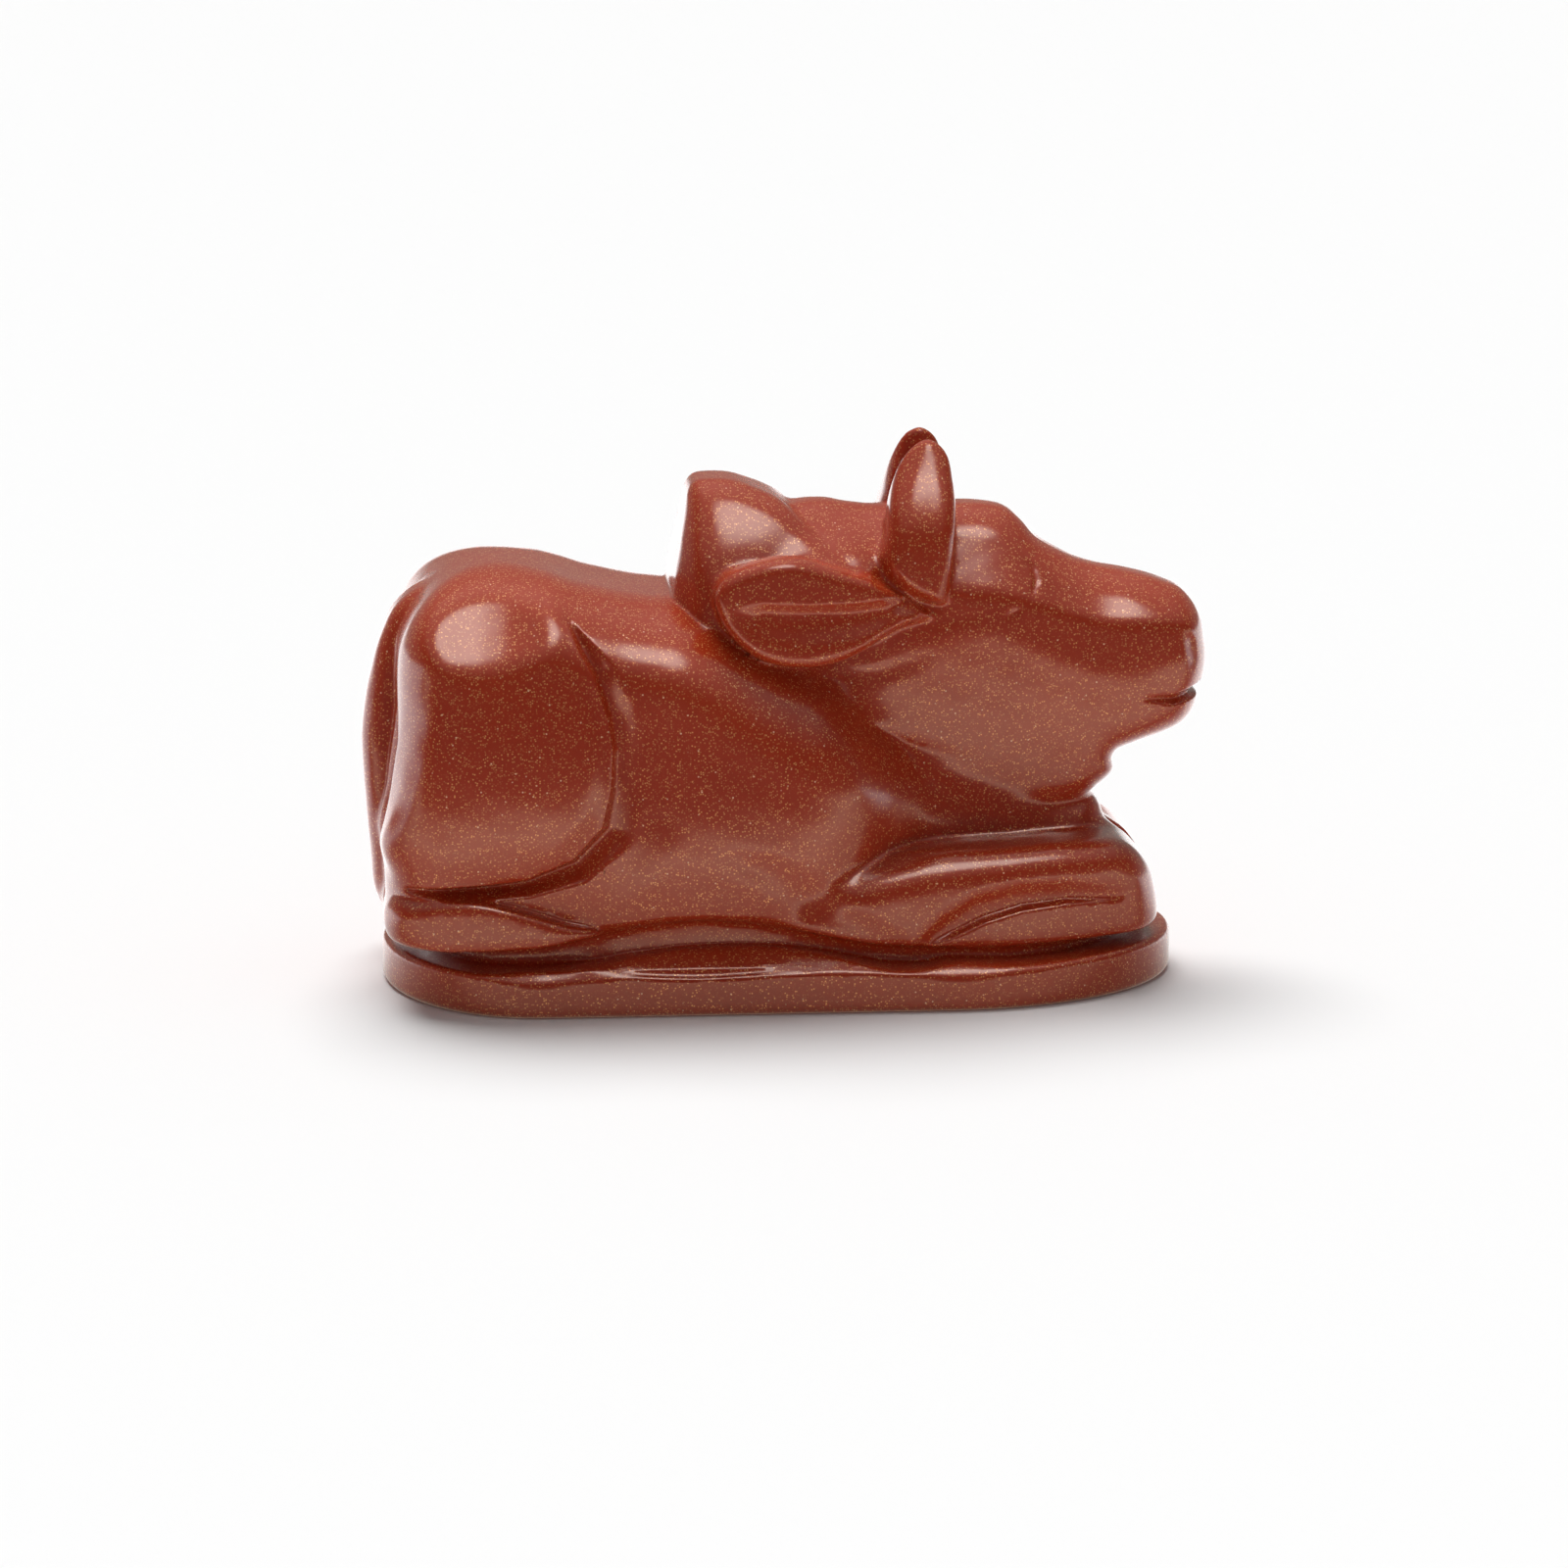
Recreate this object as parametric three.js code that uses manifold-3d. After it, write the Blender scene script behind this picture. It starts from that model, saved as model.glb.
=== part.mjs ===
// A small reclining humped bull on a low plinth, carved and polished from one block of glittering
// reddish-brown glass stone. Millimetres, +Z up. The bull looks along +X, its left side faces +Y,
// and the origin is the middle of the plinth's underside.

import * as THREE from "three";
import { mergeVertices } from "three/addons/utils/BufferGeometryUtils.js";
import { edgeTable, triTable } from "three/addons/objects/MarchingCubes.js";
import Module from "manifold-3d";

// Driving dimensions.
const plinthLength = 56.4;
const tailOverhang = 1.4; // how far the tail stands out behind the plinth
const noseOverhang = 2.2; // how far the nose stands out ahead of it
const plinthWidth = 28;
const plinthHeight = 3.3;
const plinthRearCurve = 11; // length of the curve that ends the plinth's outline under the rump
const plinthFrontCurve = 17; // and under the knees
const plinthRimRadius = 0.6; // rounding of the plinth's upper and lower edges
const grooveInset = 5; // how far the groove above the plinth runs in from the plinth's edge
const sampleStep = 0.42; // spacing of the samples from which the carved surface is made
const faceCount = 8300; // triangles that the carved surface is thinned to

// The figure is one free form. Its places and sizes are shares of its own length, in hundredths:
// x runs forward from the tail, y sideways from the middle and z up from the plinth's top.
const figureLength = plinthLength + tailOverhang + noseOverhang;
const figureForward = (noseOverhang - tailOverhang) / 2; // its middle, ahead of the plinth's
const share = figureLength / 100;

// A smooth curve through pairs [x, value], level beyond its ends.
function profile(pairs) {
  if (typeof pairs === "number") return () => pairs;
  const slope = pairs.map((_, i) => {
    const a = pairs[Math.max(i - 1, 0)];
    const b = pairs[Math.min(i + 1, pairs.length - 1)];
    return (b[1] - a[1]) / (b[0] - a[0]);
  });
  return (x) => {
    const last = pairs.length - 1;
    if (x <= pairs[0][0]) return pairs[0][1];
    if (x >= pairs[last][0]) return pairs[last][1];
    const i = pairs.findIndex((pair) => pair[0] > x) - 1;
    const run = pairs[i + 1][0] - pairs[i][0];
    const t = (x - pairs[i][0]) / run;
    const u = 1 - t;
    const rise = t * t * (3 - 2 * t);
    const bend = t * u * u * run * slope[i] - t * t * u * run * slope[i + 1];
    return pairs[i][1] + (pairs[i + 1][1] - pairs[i][1]) * rise + bend;
  };
}

// Signed distance in the side view to a closed smooth outline through [x, z] points.
function outlineDistance(points) {
  const curve = new THREE.CatmullRomCurve3(
    points.map(([x, z]) => new THREE.Vector3(x, z, 0)), true, "centripetal",
  );
  const line = curve.getPoints(points.length * 6).map((p) => [p.x, p.y]);
  return (x, z) => {
    let nearest = Infinity;
    let inside = false;
    for (let i = 0; i + 1 < line.length; i++) {
      const [ax, az] = line[i];
      const [bx, bz] = line[i + 1];
      const ex = bx - ax;
      const ez = bz - az;
      const along = ((x - ax) * ex + (z - az) * ez) / (ex * ex + ez * ez || 1);
      const t = Math.min(1, Math.max(0, along));
      nearest = Math.min(nearest, Math.hypot(x - ax - t * ex, z - az - t * ez));
      if (az > z !== bz > z && x < ax + ((z - az) / ez) * ex) inside = !inside;
    }
    return inside ? -nearest : nearest;
  };
}

// The masses that the carver left, each drawn by its outline from the side. "half" is its half
// thickness about "middle" (a distance from the centre plane), both along x, and "narrow" takes
// from it, by the square of the distance from a height, below and above. "edge" is how far the
// rounding of its edge runs in from the outline, and "side" how far it runs in from its side.
const masses = [
  {
    name: "trunk",
    outline: [
      [3.2, -2], [2.7, 6], [2.6, 14], [3.4, 22], [4.2, 28], [4.3, 33], [4.8, 37], [6.8, 40.6],
      [10, 43],
      [14.6, 44.4], [20.2, 44.1], [27.1, 42.5], [32.8, 41.3], [38, 40.6], [43, 38.6], [48, 35.6],
      [53, 32.6], [58, 29.6], [63, 25.8], [68, 22.4], [73, 20], [78, 18.2], [84, 16.8],
      [86.9, 15.6], [88.6, 12], [90.1, 8.4], [91, 5], [91, -2], [70, -4], [40, -4], [15, -4],
    ],
    half: [
      [0, 20], [8, 21.4], [14, 21.8], [24, 21.4], [32, 21.2], [45, 21.6], [54, 21], [61, 19],
      [68, 15.6], [76, 12.2], [84, 9.8], [92, 7.6],
    ],
    narrow: [20, 0.007, 0],
    edge: [[0, 9], [12, 10.5], [24, 11.5], [60, 12], [76, 11], [92, 7.5]],
    side: [[0, 9], [10, 13], [20, 15.5], [60, 15.5], [76, 11.5], [92, 7]],
    blend: 0,
  },
  {
    name: "neck",
    outline: [
      [46, 49], [51.9, 51.1], [54.8, 51.3], [57.1, 50.9], [60, 50.5], [66, 49.5], [71, 42],
      [72, 32], [66, 24], [56, 22], [46, 26], [42, 36], [42, 45],
    ],
    half: [[42, 12.5], [56, 11.6], [66, 10.5], [72, 9]],
    narrow: [34, 0.004, 0.006],
    edge: 9,
    side: 9,
    blend: 5,
  },
  {
    name: "hump",
    outline: [
      [37, 36], [36.8, 42.7], [37.3, 45.6], [38.2, 50.3], [38.7, 52.9], [39.5, 53.9],
      [41.5, 54.2], [43.7, 54.1], [46.7, 53.1], [49.6, 51.7], [52, 49.6], [55, 46.6],
      [58, 43], [59, 38], [52, 33], [42, 33],
    ],
    half: 13.5,
    slant: [41, 0.8],
    edge: 1.6,
    side: 2.6,
    blend: 0.8,
  },
  {
    name: "haunch",
    outline: [
      [5.2, 9.6], [9.8, 9.6], [14.9, 9.8], [19, 10.1], [24.6, 12.6], [28.1, 16.4], [29.3, 20.4],
      [29.6, 25.1], [28.9, 29.3], [26.8, 34.5], [24.2, 38], [20, 40], [14, 39.4], [10, 36.4],
      [7.6, 32], [6.2, 27], [4.4, 20], [2.2, 13.6],
    ],
    half: [[0, 20.4], [8, 22.2], [15, 23], [23, 22.7], [30, 21.4]],
    narrow: [22.6, 0.012, 0.017],
    edge: 7,
    side: 4,
    blend: 1,
  },
  {
    name: "hind foot",
    outline: [
      [2.4, 5.8], [3.4, 8], [8, 8.6], [13.5, 8], [18.1, 6.7], [22.7, 5.2], [29, 3.6], [26, 1.6],
      [18, 1], [12, 1], [6, 1.4], [3, 2.8],
    ],
    half: [[2, 18.6], [7, 21.2], [14, 22.4], [22, 22], [28, 20.2]],
    edge: 3,
    side: 4,
    blend: 0.6,
  },
  {
    name: "foreleg",
    outline: [
      [55, 0], [58.5, 6], [62.4, 9], [67.7, 10], [74.7, 10.7], [84, 11.1], [89, 10.8],
      [91.6, 8], [92.7, 5], [93, 2.6], [92, 0], [84, -1], [74, -1], [63, -1],
    ],
    half: [[54, 18.6], [60, 19.9], [66, 20.4], [75, 19.4], [84, 16.8], [90, 13.8], [94, 10.6]],
    edge: 3.6,
    side: 4.4,
    blend: 2.4,
  },
  {
    name: "tail",
    outline: [
      [3.5, 1], [2.4, 3.4], [1.4, 5.8], [1.1, 9.4], [0.7, 14.2], [0.4, 18.9], [0.2, 23.6],
      [0.5, 27.2], [1.4, 31.9], [2.8, 36.4], [4.6, 39.6], [7.5, 41.6], [10, 40], [9, 30],
      [8, 16], [8, 4], [6, 2],
    ],
    half: 4.6,
    edge: 2.6,
    side: 3,
    blend: 0.6,
  },
  {
    name: "head",
    outline: [
      [52, 36], [54, 28], [58, 21.5], [64, 17], [72, 14], [80, 14], [85, 15.5], [87.7, 17.5],
      [88.6, 18.4], [89, 19.3], [88.8, 20.4], [89.3, 21.4], [91.2, 22.2], [94.7, 23.3],
      [97, 24.2], [98.4, 25.4], [99, 26.6], [99.2, 27.6], [99.5, 28.6], [99.9, 29.6],
      [100.2, 31.6], [99.9, 34.5], [99.2, 37.5], [97.4, 39.9], [95, 41.1], [90.9, 42.3],
      [86.2, 43.3], [82.7, 44.8], [79.8, 46.6], [78, 48.6], [76.3, 50], [74.5, 50.5],
      [70.1, 50.7], [64, 50.3], [58, 48], [53, 43],
    ],
    half: [
      [50, 8.6], [58, 10], [64, 10.3], [70, 10.6], [75, 10.8], [79, 10.1], [84, 8.8],
      [89, 7.8], [94, 7.4], [98, 6.8], [100, 6],
    ],
    narrow: [36, 0.0085, 0.008],
    edge: [[50, 7], [76, 7.5], [90, 7], [100, 6]],
    side: [[50, 7], [76, 7.5], [90, 6.6], [100, 5.5]],
    blend: 1.6,
  },
  {
    name: "brow",
    outline: [[71.5, 42], [74, 44.6], [77.6, 44.9], [80, 43], [80.2, 40.4], [78, 38.8], [74, 39]],
    half: [[71, 10.6], [76, 11.3], [80.5, 10.1]],
    edge: 3,
    side: 2.4,
    blend: 0.8,
  },
  {
    name: "horn",
    outline: [
      [60.9, 44.4], [61.5, 48.3], [62, 52.1], [63.2, 55.2], [64.9, 57.4], [66.8, 58.4],
      [68.3, 57.2], [69.2, 53.4], [69.4, 48.2], [68.9, 43.5], [68, 40.2], [66.1, 40.2],
      [63, 41.7],
    ],
    middle: 7.6,
    half: 3.7,
    lean: [42, -0.1],
    edge: 4,
    side: 3.6,
    blend: 0.7,
  },
  {
    name: "ear",
    outline: [
      [66.5, 39], [64.5, 41.6], [62, 43.2], [58.3, 44.2], [54.1, 45.8], [51.2, 46.8],
      [45.3, 46.3], [42.1, 44.7], [40.9, 42.4], [41.8, 39.4], [43.7, 36.8], [46.7, 34.8],
      [51.2, 34], [55.6, 34.4], [59.8, 36.2], [63.1, 38],
    ],
    middle: [[41, 14], [50, 14.2], [58, 12], [66, 9]],
    half: 2.9,
    edge: 2.6,
    side: 2.4,
    blend: 0.6,
  },
];

// Grooves cut into the sides, as lines of [x, z, half width, depth] in the side view. "from" is
// how far out from the centre plane the cutting starts.
const grooves = [
  {
    name: "round the haunch",
    from: 14,
    line: [
      [24, 39.2, 0.9, 0.2], [26.8, 34.6, 1.7, 1.5], [29, 29.6, 2, 1.6], [30, 25.1, 2, 1.3],
      [30, 20.4, 2.2, 1.6], [28.9, 15.6, 2.4, 2.1], [25, 11.6, 2.2, 2.4], [19, 9.5, 1.7, 2.6],
      [10, 9.2, 1.4, 2.4], [5, 9.3, 0.9, 0.4],
    ],
  },
  {
    name: "flank beside the haunch",
    from: 14,
    line: [[31, 33, 2.5, 0.6], [32, 26, 3.4, 0.8], [32, 18, 3.4, 0.8], [29, 12, 3, 0.8]],
  },
  {
    name: "elbow",
    from: 14,
    line: [[47.3, 11, 1.6, 0.2], [51, 7.4, 2.4, 0.9], [56.6, 4, 2.4, 1.1], [62, 2.4, 1.6, 0.8]],
  },
  {
    name: "between forearm and shin",
    from: 8,
    line: [
      [64.6, 1.6, 1.2, 0.6], [68.4, 3.4, 1.7, 1.8], [72, 5, 1.9, 2.1], [76.4, 6, 1.8, 2],
      [82, 6.2, 1.5, 1.5], [88.6, 5.6, 0.9, 0.3],
    ],
  },
  {
    name: "hollow of the ear",
    from: 13,
    line: [
      [44, 41, 1, 0.3], [47, 40.6, 1.9, 1.6], [53, 40, 2.2, 2.3], [59, 39.7, 1.6, 1.8],
      [64, 40.2, 1, 0.4],
    ],
  },
  {
    name: "root of the horn",
    from: 5,
    line: [
      [59.6, 47, 1, 0.3], [60.6, 44.6, 1.4, 1.2], [62.6, 42, 1.5, 1.5], [65.4, 40, 1.4, 1.3],
      [68.4, 39.4, 1.2, 0.5],
    ],
  },
  {
    name: "mouth",
    from: 0,
    line: [[92.6, 28.3, 0.6, 0.2], [95.6, 27.9, 0.8, 1], [98, 28.2, 0.9, 1.3], [102, 29, 0.9, 1.3]],
  },
  {
    name: "upper edge of the cheek",
    from: 5,
    line: [[57, 31, 1.6, 0.2], [61, 33.4, 1.8, 0.6], [66, 34.8, 1.6, 0.6], [73, 36.2, 1.2, 0.3]],
  },
  {
    name: "under the jaw",
    from: 3,
    line: [
      [51, 30, 2, 0.3], [57, 25.6, 2.6, 1.2], [62, 22, 2.8, 1.5], [68, 19.4, 2.6, 1.4],
      [76, 18, 2.2, 1], [84, 17.8, 1.8, 0.7], [90, 18, 1.4, 0.3],
    ],
  },
];

// The lower edge of the figure along x, over the groove that parts it from the plinth.
const lowerEdge = profile([
  [0, 2], [7, 2.2], [18, 2.3], [26.4, 3.2], [32, 4.1], [38, 4.7], [45, 4.3], [51, 3.2],
  [58, 1.9], [65, 1.2], [75, 0.9], [90, 1], [94, 1.4],
]);
const lowerEdgeRounding = 1.5;

// The hollow down each side of the tail, seen from behind: [y, z, half width, depth].
const tailHollow = [
  [6.4, 36.5, 1.5, 0.1], [9, 31, 4, 1.5], [10.4, 25, 4.8, 3], [10, 16, 4.4, 3], [8, 7, 3, 1],
];

// The parting between the knees, seen from the front: [y, z, half width, depth].
const kneeParting = [[0, 12, 1.5, 0.2], [0, 9, 2.6, 2.6], [0, -2, 2.8, 3]];

// How deep a groove reaches at a place in its view.
function grooveDepth(points, u, v) {
  let deepest = 0;
  for (let i = 0; i + 1 < points.length; i++) {
    const [au, av, aWidth, aDepth] = points[i];
    const [bu, bv, bWidth, bDepth] = points[i + 1];
    const eu = bu - au;
    const ev = bv - av;
    const along = ((u - au) * eu + (v - av) * ev) / (eu * eu + ev * ev);
    const t = Math.min(1, Math.max(0, along));
    const away = Math.hypot(u - au - t * eu, v - av - t * ev) / (aWidth + t * (bWidth - aWidth));
    if (away < 1) {
      const fall = 1 - away * away;
      deepest = Math.max(deepest, (aDepth + t * (bDepth - aDepth)) * fall * fall);
    }
  }
  return deepest;
}

// Joins two distances with a soft seam "blend" wide.
function softUnion(a, b, blend) {
  if (blend <= 0) return Math.min(a, b);
  const near = Math.max(blend - Math.abs(a - b), 0) / blend;
  return Math.min(a, b) - (near * near * blend) / 4;
}

const forms = masses.map((mass) => ({
  blend: mass.blend,
  outline: outlineDistance(mass.outline),
  middle: profile(mass.middle ?? 0),
  half: profile(mass.half),
  edge: profile(mass.edge),
  side: profile(mass.side),
  narrow: mass.narrow ?? [0, 0, 0],
  slant: mass.slant ?? [0, 0],
  lean: mass.lean ?? [0, 0],
}));

// The foot that stands inside the groove and joins the figure to the plinth.
const figureSink = 2; // how far the figure is carried down into the plinth
const footTop = 7;

function footDistance(x, y, z) {
  const ahead = x - 50 + figureForward / share;
  const curve = (ahead < 0 ? plinthRearCurve : plinthFrontCurve) / share;
  const inset = grooveInset / share;
  const halfWidth = plinthWidth / 2 / share - inset;
  const past = Math.max(Math.abs(ahead) - plinthLength / 2 / share + curve, 0) / (curve - inset);
  const out = (Math.hypot(past, y / halfWidth) - 1) * halfWidth;
  return Math.max(out, z - footTop);
}

// The figure's distance along one line across it, at a place in the side view.
function acrossFigure(x, z) {
  const here = forms.map((form) => {
    const [level, below, above] = form.narrow;
    const off = z - level;
    const slant = form.slant[1] * Math.max(z - form.slant[0], 0);
    return {
      blend: form.blend,
      away: form.outline(x, z),
      middle: form.middle(x) + form.lean[1] * (z - form.lean[0]),
      half: Math.max(form.half(x) - (off < 0 ? below : above) * off * off - slant, 1),
      edge: form.edge(x),
      side: form.side(x),
    };
  });
  const cuts = grooves
    .map((groove) => ({ from: groove.from, depth: grooveDepth(groove.line, x, z) }))
    .filter((cut) => cut.depth > 0);
  const floor = lowerEdge(x) - z;
  return (y) => {
    let d = Infinity;
    for (const form of here) {
      const p = Math.max(1 + form.away / form.edge, 0);
      const q = Math.max(1 + (Math.abs(y - form.middle) - form.half) / form.side, 0);
      const r = Math.hypot(p, q);
      const slope = r > 0.05 ? Math.hypot(p / form.edge, q / form.side) / r : Infinity;
      const near = r > 0.05 ? (r - 1) / slope : -Math.min(form.edge, form.side);
      d = d === Infinity ? near : softUnion(d, near, form.blend);
    }
    for (const cut of cuts) if (y >= cut.from) d += cut.depth;
    if (x < 16) d += grooveDepth(tailHollow, y, z) * Math.min(1, (16 - x) / 6);
    if (x > 84) d += grooveDepth(kneeParting, y, z) * Math.min(1, (x - 84) / 6);
    d = -softUnion(-d, -floor, lowerEdgeRounding);
    d = softUnion(d, footDistance(x, y, z), 1.5);
    return Math.max(d, -figureSink - z);
  };
}

// Samples the figure's distance on a grid, one side of it, and draws the surface of both sides.
function carvedSurface() {
  const step = sampleStep / share;
  const low = [-3, 0, -3.2];
  const count = [106, 25, 64].map((size) => Math.ceil(size / step) + 1);
  const [nx, half, nz] = count;
  const ny = 2 * half - 1;
  const field = new Float64Array(nx * ny * nz);
  for (let k = 0; k < nz; k++) {
    for (let i = 0; i < nx; i++) {
      const across = acrossFigure(low[0] + i * step, low[2] + k * step);
      for (let j = 0; j < half; j++) {
        const d = across(j * step);
        field[i + nx * (half - 1 + j + ny * k)] = d;
        field[i + nx * (half - 1 - j + ny * k)] = d;
      }
    }
  }
  low[1] = -(half - 1) * step;
  const corners = [[0, 0, 0], [1, 0, 0], [1, 1, 0], [0, 1, 0], [0, 0, 1], [1, 0, 1], [1, 1, 1], [0, 1, 1]];
  const edges = [
    [0, 1], [1, 2], [3, 2], [0, 3], [4, 5], [5, 6], [7, 6], [4, 7], [0, 4], [1, 5], [2, 6], [3, 7],
  ];
  const vertexOf = new Map();
  const positions = [];
  const faces = [];
  const cornerAt = (i, j, k, c) =>
    i + corners[c][0] + nx * (j + corners[c][1] + ny * (k + corners[c][2]));
  const edgeVertex = (i, j, k, e) => {
    const [from, to] = edges[e];
    const p = cornerAt(i, j, k, from);
    const q = cornerAt(i, j, k, to);
    const key = p * 3 + (q - p === 1 ? 0 : q - p === nx ? 1 : 2);
    if (!vertexOf.has(key)) {
      const t = Math.min(0.98, Math.max(0.02, field[p] / (field[p] - field[q])));
      const place = [i, j, k].map((cell, axis) => {
        const at = cell + corners[from][axis] + t * (corners[to][axis] - corners[from][axis]);
        return low[axis] + at * step;
      });
      vertexOf.set(key, positions.length);
      positions.push(place);
    }
    return vertexOf.get(key);
  };
  for (let k = 0; k + 1 < nz; k++) {
    for (let j = 0; j + 1 < ny; j++) {
      for (let i = 0; i + 1 < nx; i++) {
        let cell = 0;
        for (let c = 0; c < 8; c++) {
          if (field[cornerAt(i, j, k, c)] < 0) cell |= 1 << c;
        }
        if (edgeTable[cell] === 0) continue;
        for (let t = cell * 16; triTable[t] !== -1; t += 3) {
          faces.push([0, 2, 1].map((m) => edgeVertex(i, j, k, triTable[t + m])));
        }
      }
    }
  }
  return { positions, faces };
}

// Thins a closed mesh by folding edges, cheapest first, where the cost of an edge is the sum of the
// squared distances from its new point to the planes of the faces around it.
function thinned({ positions, faces }, wanted) {
  const places = positions.map((p) => [...p]);
  const cost = places.map(() => new Float64Array(10));
  const around = places.map(() => new Set());
  const alive = faces.map(() => true);
  const stamp = new Int32Array(places.length);

  const faceNormal = (a, b, c) => {
    const u = [b[0] - a[0], b[1] - a[1], b[2] - a[2]];
    const v = [c[0] - a[0], c[1] - a[1], c[2] - a[2]];
    return [u[1] * v[2] - u[2] * v[1], u[2] * v[0] - u[0] * v[2], u[0] * v[1] - u[1] * v[0]];
  };
  const addPlane = (q, n, d, weight) => {
    const [x, y, z] = n;
    const terms = [x * x, x * y, x * z, x * d, y * y, y * z, y * d, z * z, z * d, d * d];
    terms.forEach((term, i) => (q[i] += term * weight));
  };
  faces.forEach((face, f) => {
    const [a, b, c] = face.map((v) => places[v]);
    const n = faceNormal(a, b, c);
    const size = Math.sqrt(n[0] * n[0] + n[1] * n[1] + n[2] * n[2]) || 1e-12;
    const unit = n.map((v) => v / size);
    const d = -(unit[0] * a[0] + unit[1] * a[1] + unit[2] * a[2]);
    for (const v of face) {
      addPlane(cost[v], unit, d, size);
      around[v].add(f);
    }
  });

  const sumOf = (p, q) => cost[p].map((v, i) => v + cost[q][i]);
  const errorAt = (q, [x, y, z]) =>
    q[0] * x * x + 2 * q[1] * x * y + 2 * q[2] * x * z + 2 * q[3] * x + q[4] * y * y +
    2 * q[5] * y * z + 2 * q[6] * y + q[7] * z * z + 2 * q[8] * z + q[9];
  const bestPoint = (q, a, b) => {
    const middle = [(a[0] + b[0]) / 2, (a[1] + b[1]) / 2, (a[2] + b[2]) / 2];
    const m = new THREE.Matrix3().set(q[0], q[1], q[2], q[1], q[4], q[5], q[2], q[5], q[7]);
    const sizeOf = (q[0] + q[4] + q[7]) / 3;
    const choices = [middle, a, b];
    if (Math.abs(m.determinant()) > 1e-4 * sizeOf * sizeOf * sizeOf) {
      const v = new THREE.Vector3(-q[3], -q[6], -q[8]).applyMatrix3(m.invert());
      const reach = 2 * Math.hypot(a[0] - b[0], a[1] - b[1], a[2] - b[2]);
      const solved = [v.x, v.y, v.z];
      if (Math.hypot(v.x - middle[0], v.y - middle[1], v.z - middle[2]) < reach) return solved;
    }
    return choices.reduce((x, y) => (errorAt(q, y) < errorAt(q, x) ? y : x));
  };

  const heap = [];
  const push = (item) => {
    let i = heap.length;
    heap.push(item);
    while (i > 0) {
      const parent = (i - 1) >> 1;
      if (heap[parent].error <= item.error) break;
      heap[i] = heap[parent];
      i = parent;
    }
    heap[i] = item;
  };
  const pop = () => {
    const top = heap[0];
    const last = heap.pop();
    if (heap.length === 0) return top;
    let i = 0;
    for (;;) {
      let child = 2 * i + 1;
      if (child >= heap.length) break;
      if (child + 1 < heap.length && heap[child + 1].error < heap[child].error) child++;
      if (heap[child].error >= last.error) break;
      heap[i] = heap[child];
      i = child;
    }
    heap[i] = last;
    return top;
  };
  const offer = (p, q) => {
    const total = sumOf(p, q);
    const point = bestPoint(total, places[p], places[q]);
    push({ error: errorAt(total, point), p, q, point, stampP: stamp[p], stampQ: stamp[q] });
  };
  const neighbours = (v) => {
    const found = new Set();
    for (const f of around[v]) for (const w of faces[f]) if (w !== v) found.add(w);
    return found;
  };

  for (const face of faces) {
    for (let i = 0; i < 3; i++) {
      if (face[i] < face[(i + 1) % 3]) offer(face[i], face[(i + 1) % 3]);
    }
  }
  let left = faces.length;
  while (left > wanted && heap.length) {
    const { p, q, point, stampP, stampQ } = pop();
    if (stamp[p] !== stampP || stamp[q] !== stampQ) continue;
    const nearP = neighbours(p);
    const shared = [...neighbours(q)].filter((v) => nearP.has(v));
    if (shared.length !== 2) continue;
    const turnsOver = (v, other) => {
      for (const f of around[v]) {
        if (faces[f].includes(other)) continue;
        const before = faces[f].map((w) => places[w]);
        const after = faces[f].map((w) => (w === v ? point : places[w]));
        const m = faceNormal(...before);
        const n = faceNormal(...after);
        const dot = m[0] * n[0] + m[1] * n[1] + m[2] * n[2];
        if (dot < 0.2 * Math.hypot(...m) * Math.hypot(...n)) return true;
      }
      return false;
    };
    if (turnsOver(p, q) || turnsOver(q, p)) continue;
    for (const f of [...around[q]]) {
      if (faces[f].includes(p)) {
        for (const v of faces[f]) around[v].delete(f);
        alive[f] = false;
        left--;
      } else {
        faces[f] = faces[f].map((v) => (v === q ? p : v));
        around[p].add(f);
      }
    }
    around[q].clear();
    places[p] = point;
    cost[p] = sumOf(p, q);
    stamp[p]++;
    stamp[q] = -1;
    for (const v of neighbours(p)) offer(p, v);
  }
  return { positions: places, faces: faces.filter((_, f) => alive[f]) };
}

const wasm = await Module();
wasm.setup();

function solidOf(geometry) {
  const bare = geometry.clone();
  bare.deleteAttribute("normal");
  bare.deleteAttribute("uv");
  const merged = mergeVertices(bare, 1e-4);
  return new wasm.Manifold(
    new wasm.Mesh({
      numProp: 3,
      vertProperties: merged.attributes.position.array,
      triVerts: new Uint32Array(merged.index.array),
    }),
  );
}

function geometryOf(solid) {
  const { vertProperties, triVerts } = solid.getMesh();
  const geometry = new THREE.BufferGeometry();
  geometry.setAttribute("position", new THREE.BufferAttribute(new Float32Array(vertProperties), 3));
  geometry.setIndex(new THREE.BufferAttribute(new Uint32Array(triVerts), 1));
  geometry.computeVertexNormals();
  return geometry;
}

// The plinth: a slab with softened edges, squarer under the rump and round under the knees.
function plinthGeometry() {
  const halfLength = plinthLength / 2 - plinthRimRadius;
  const halfWidth = plinthWidth / 2 - plinthRimRadius;
  const rear = plinthRearCurve - plinthRimRadius;
  const front = plinthFrontCurve - plinthRimRadius;
  const outline = new THREE.Shape();
  outline.absellipse(halfLength - front, 0, front, halfWidth, -Math.PI / 2, Math.PI / 2, false, 0);
  outline.absellipse(rear - halfLength, 0, rear, halfWidth, Math.PI / 2, 1.5 * Math.PI, false, 0);
  const geometry = new THREE.ExtrudeGeometry(outline, {
    depth: plinthHeight - 2 * plinthRimRadius,
    bevelSize: plinthRimRadius,
    bevelThickness: plinthRimRadius,
    bevelSegments: 2,
    curveSegments: 24,
  });
  return geometry.translate(0, 0, plinthRimRadius);
}

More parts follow.
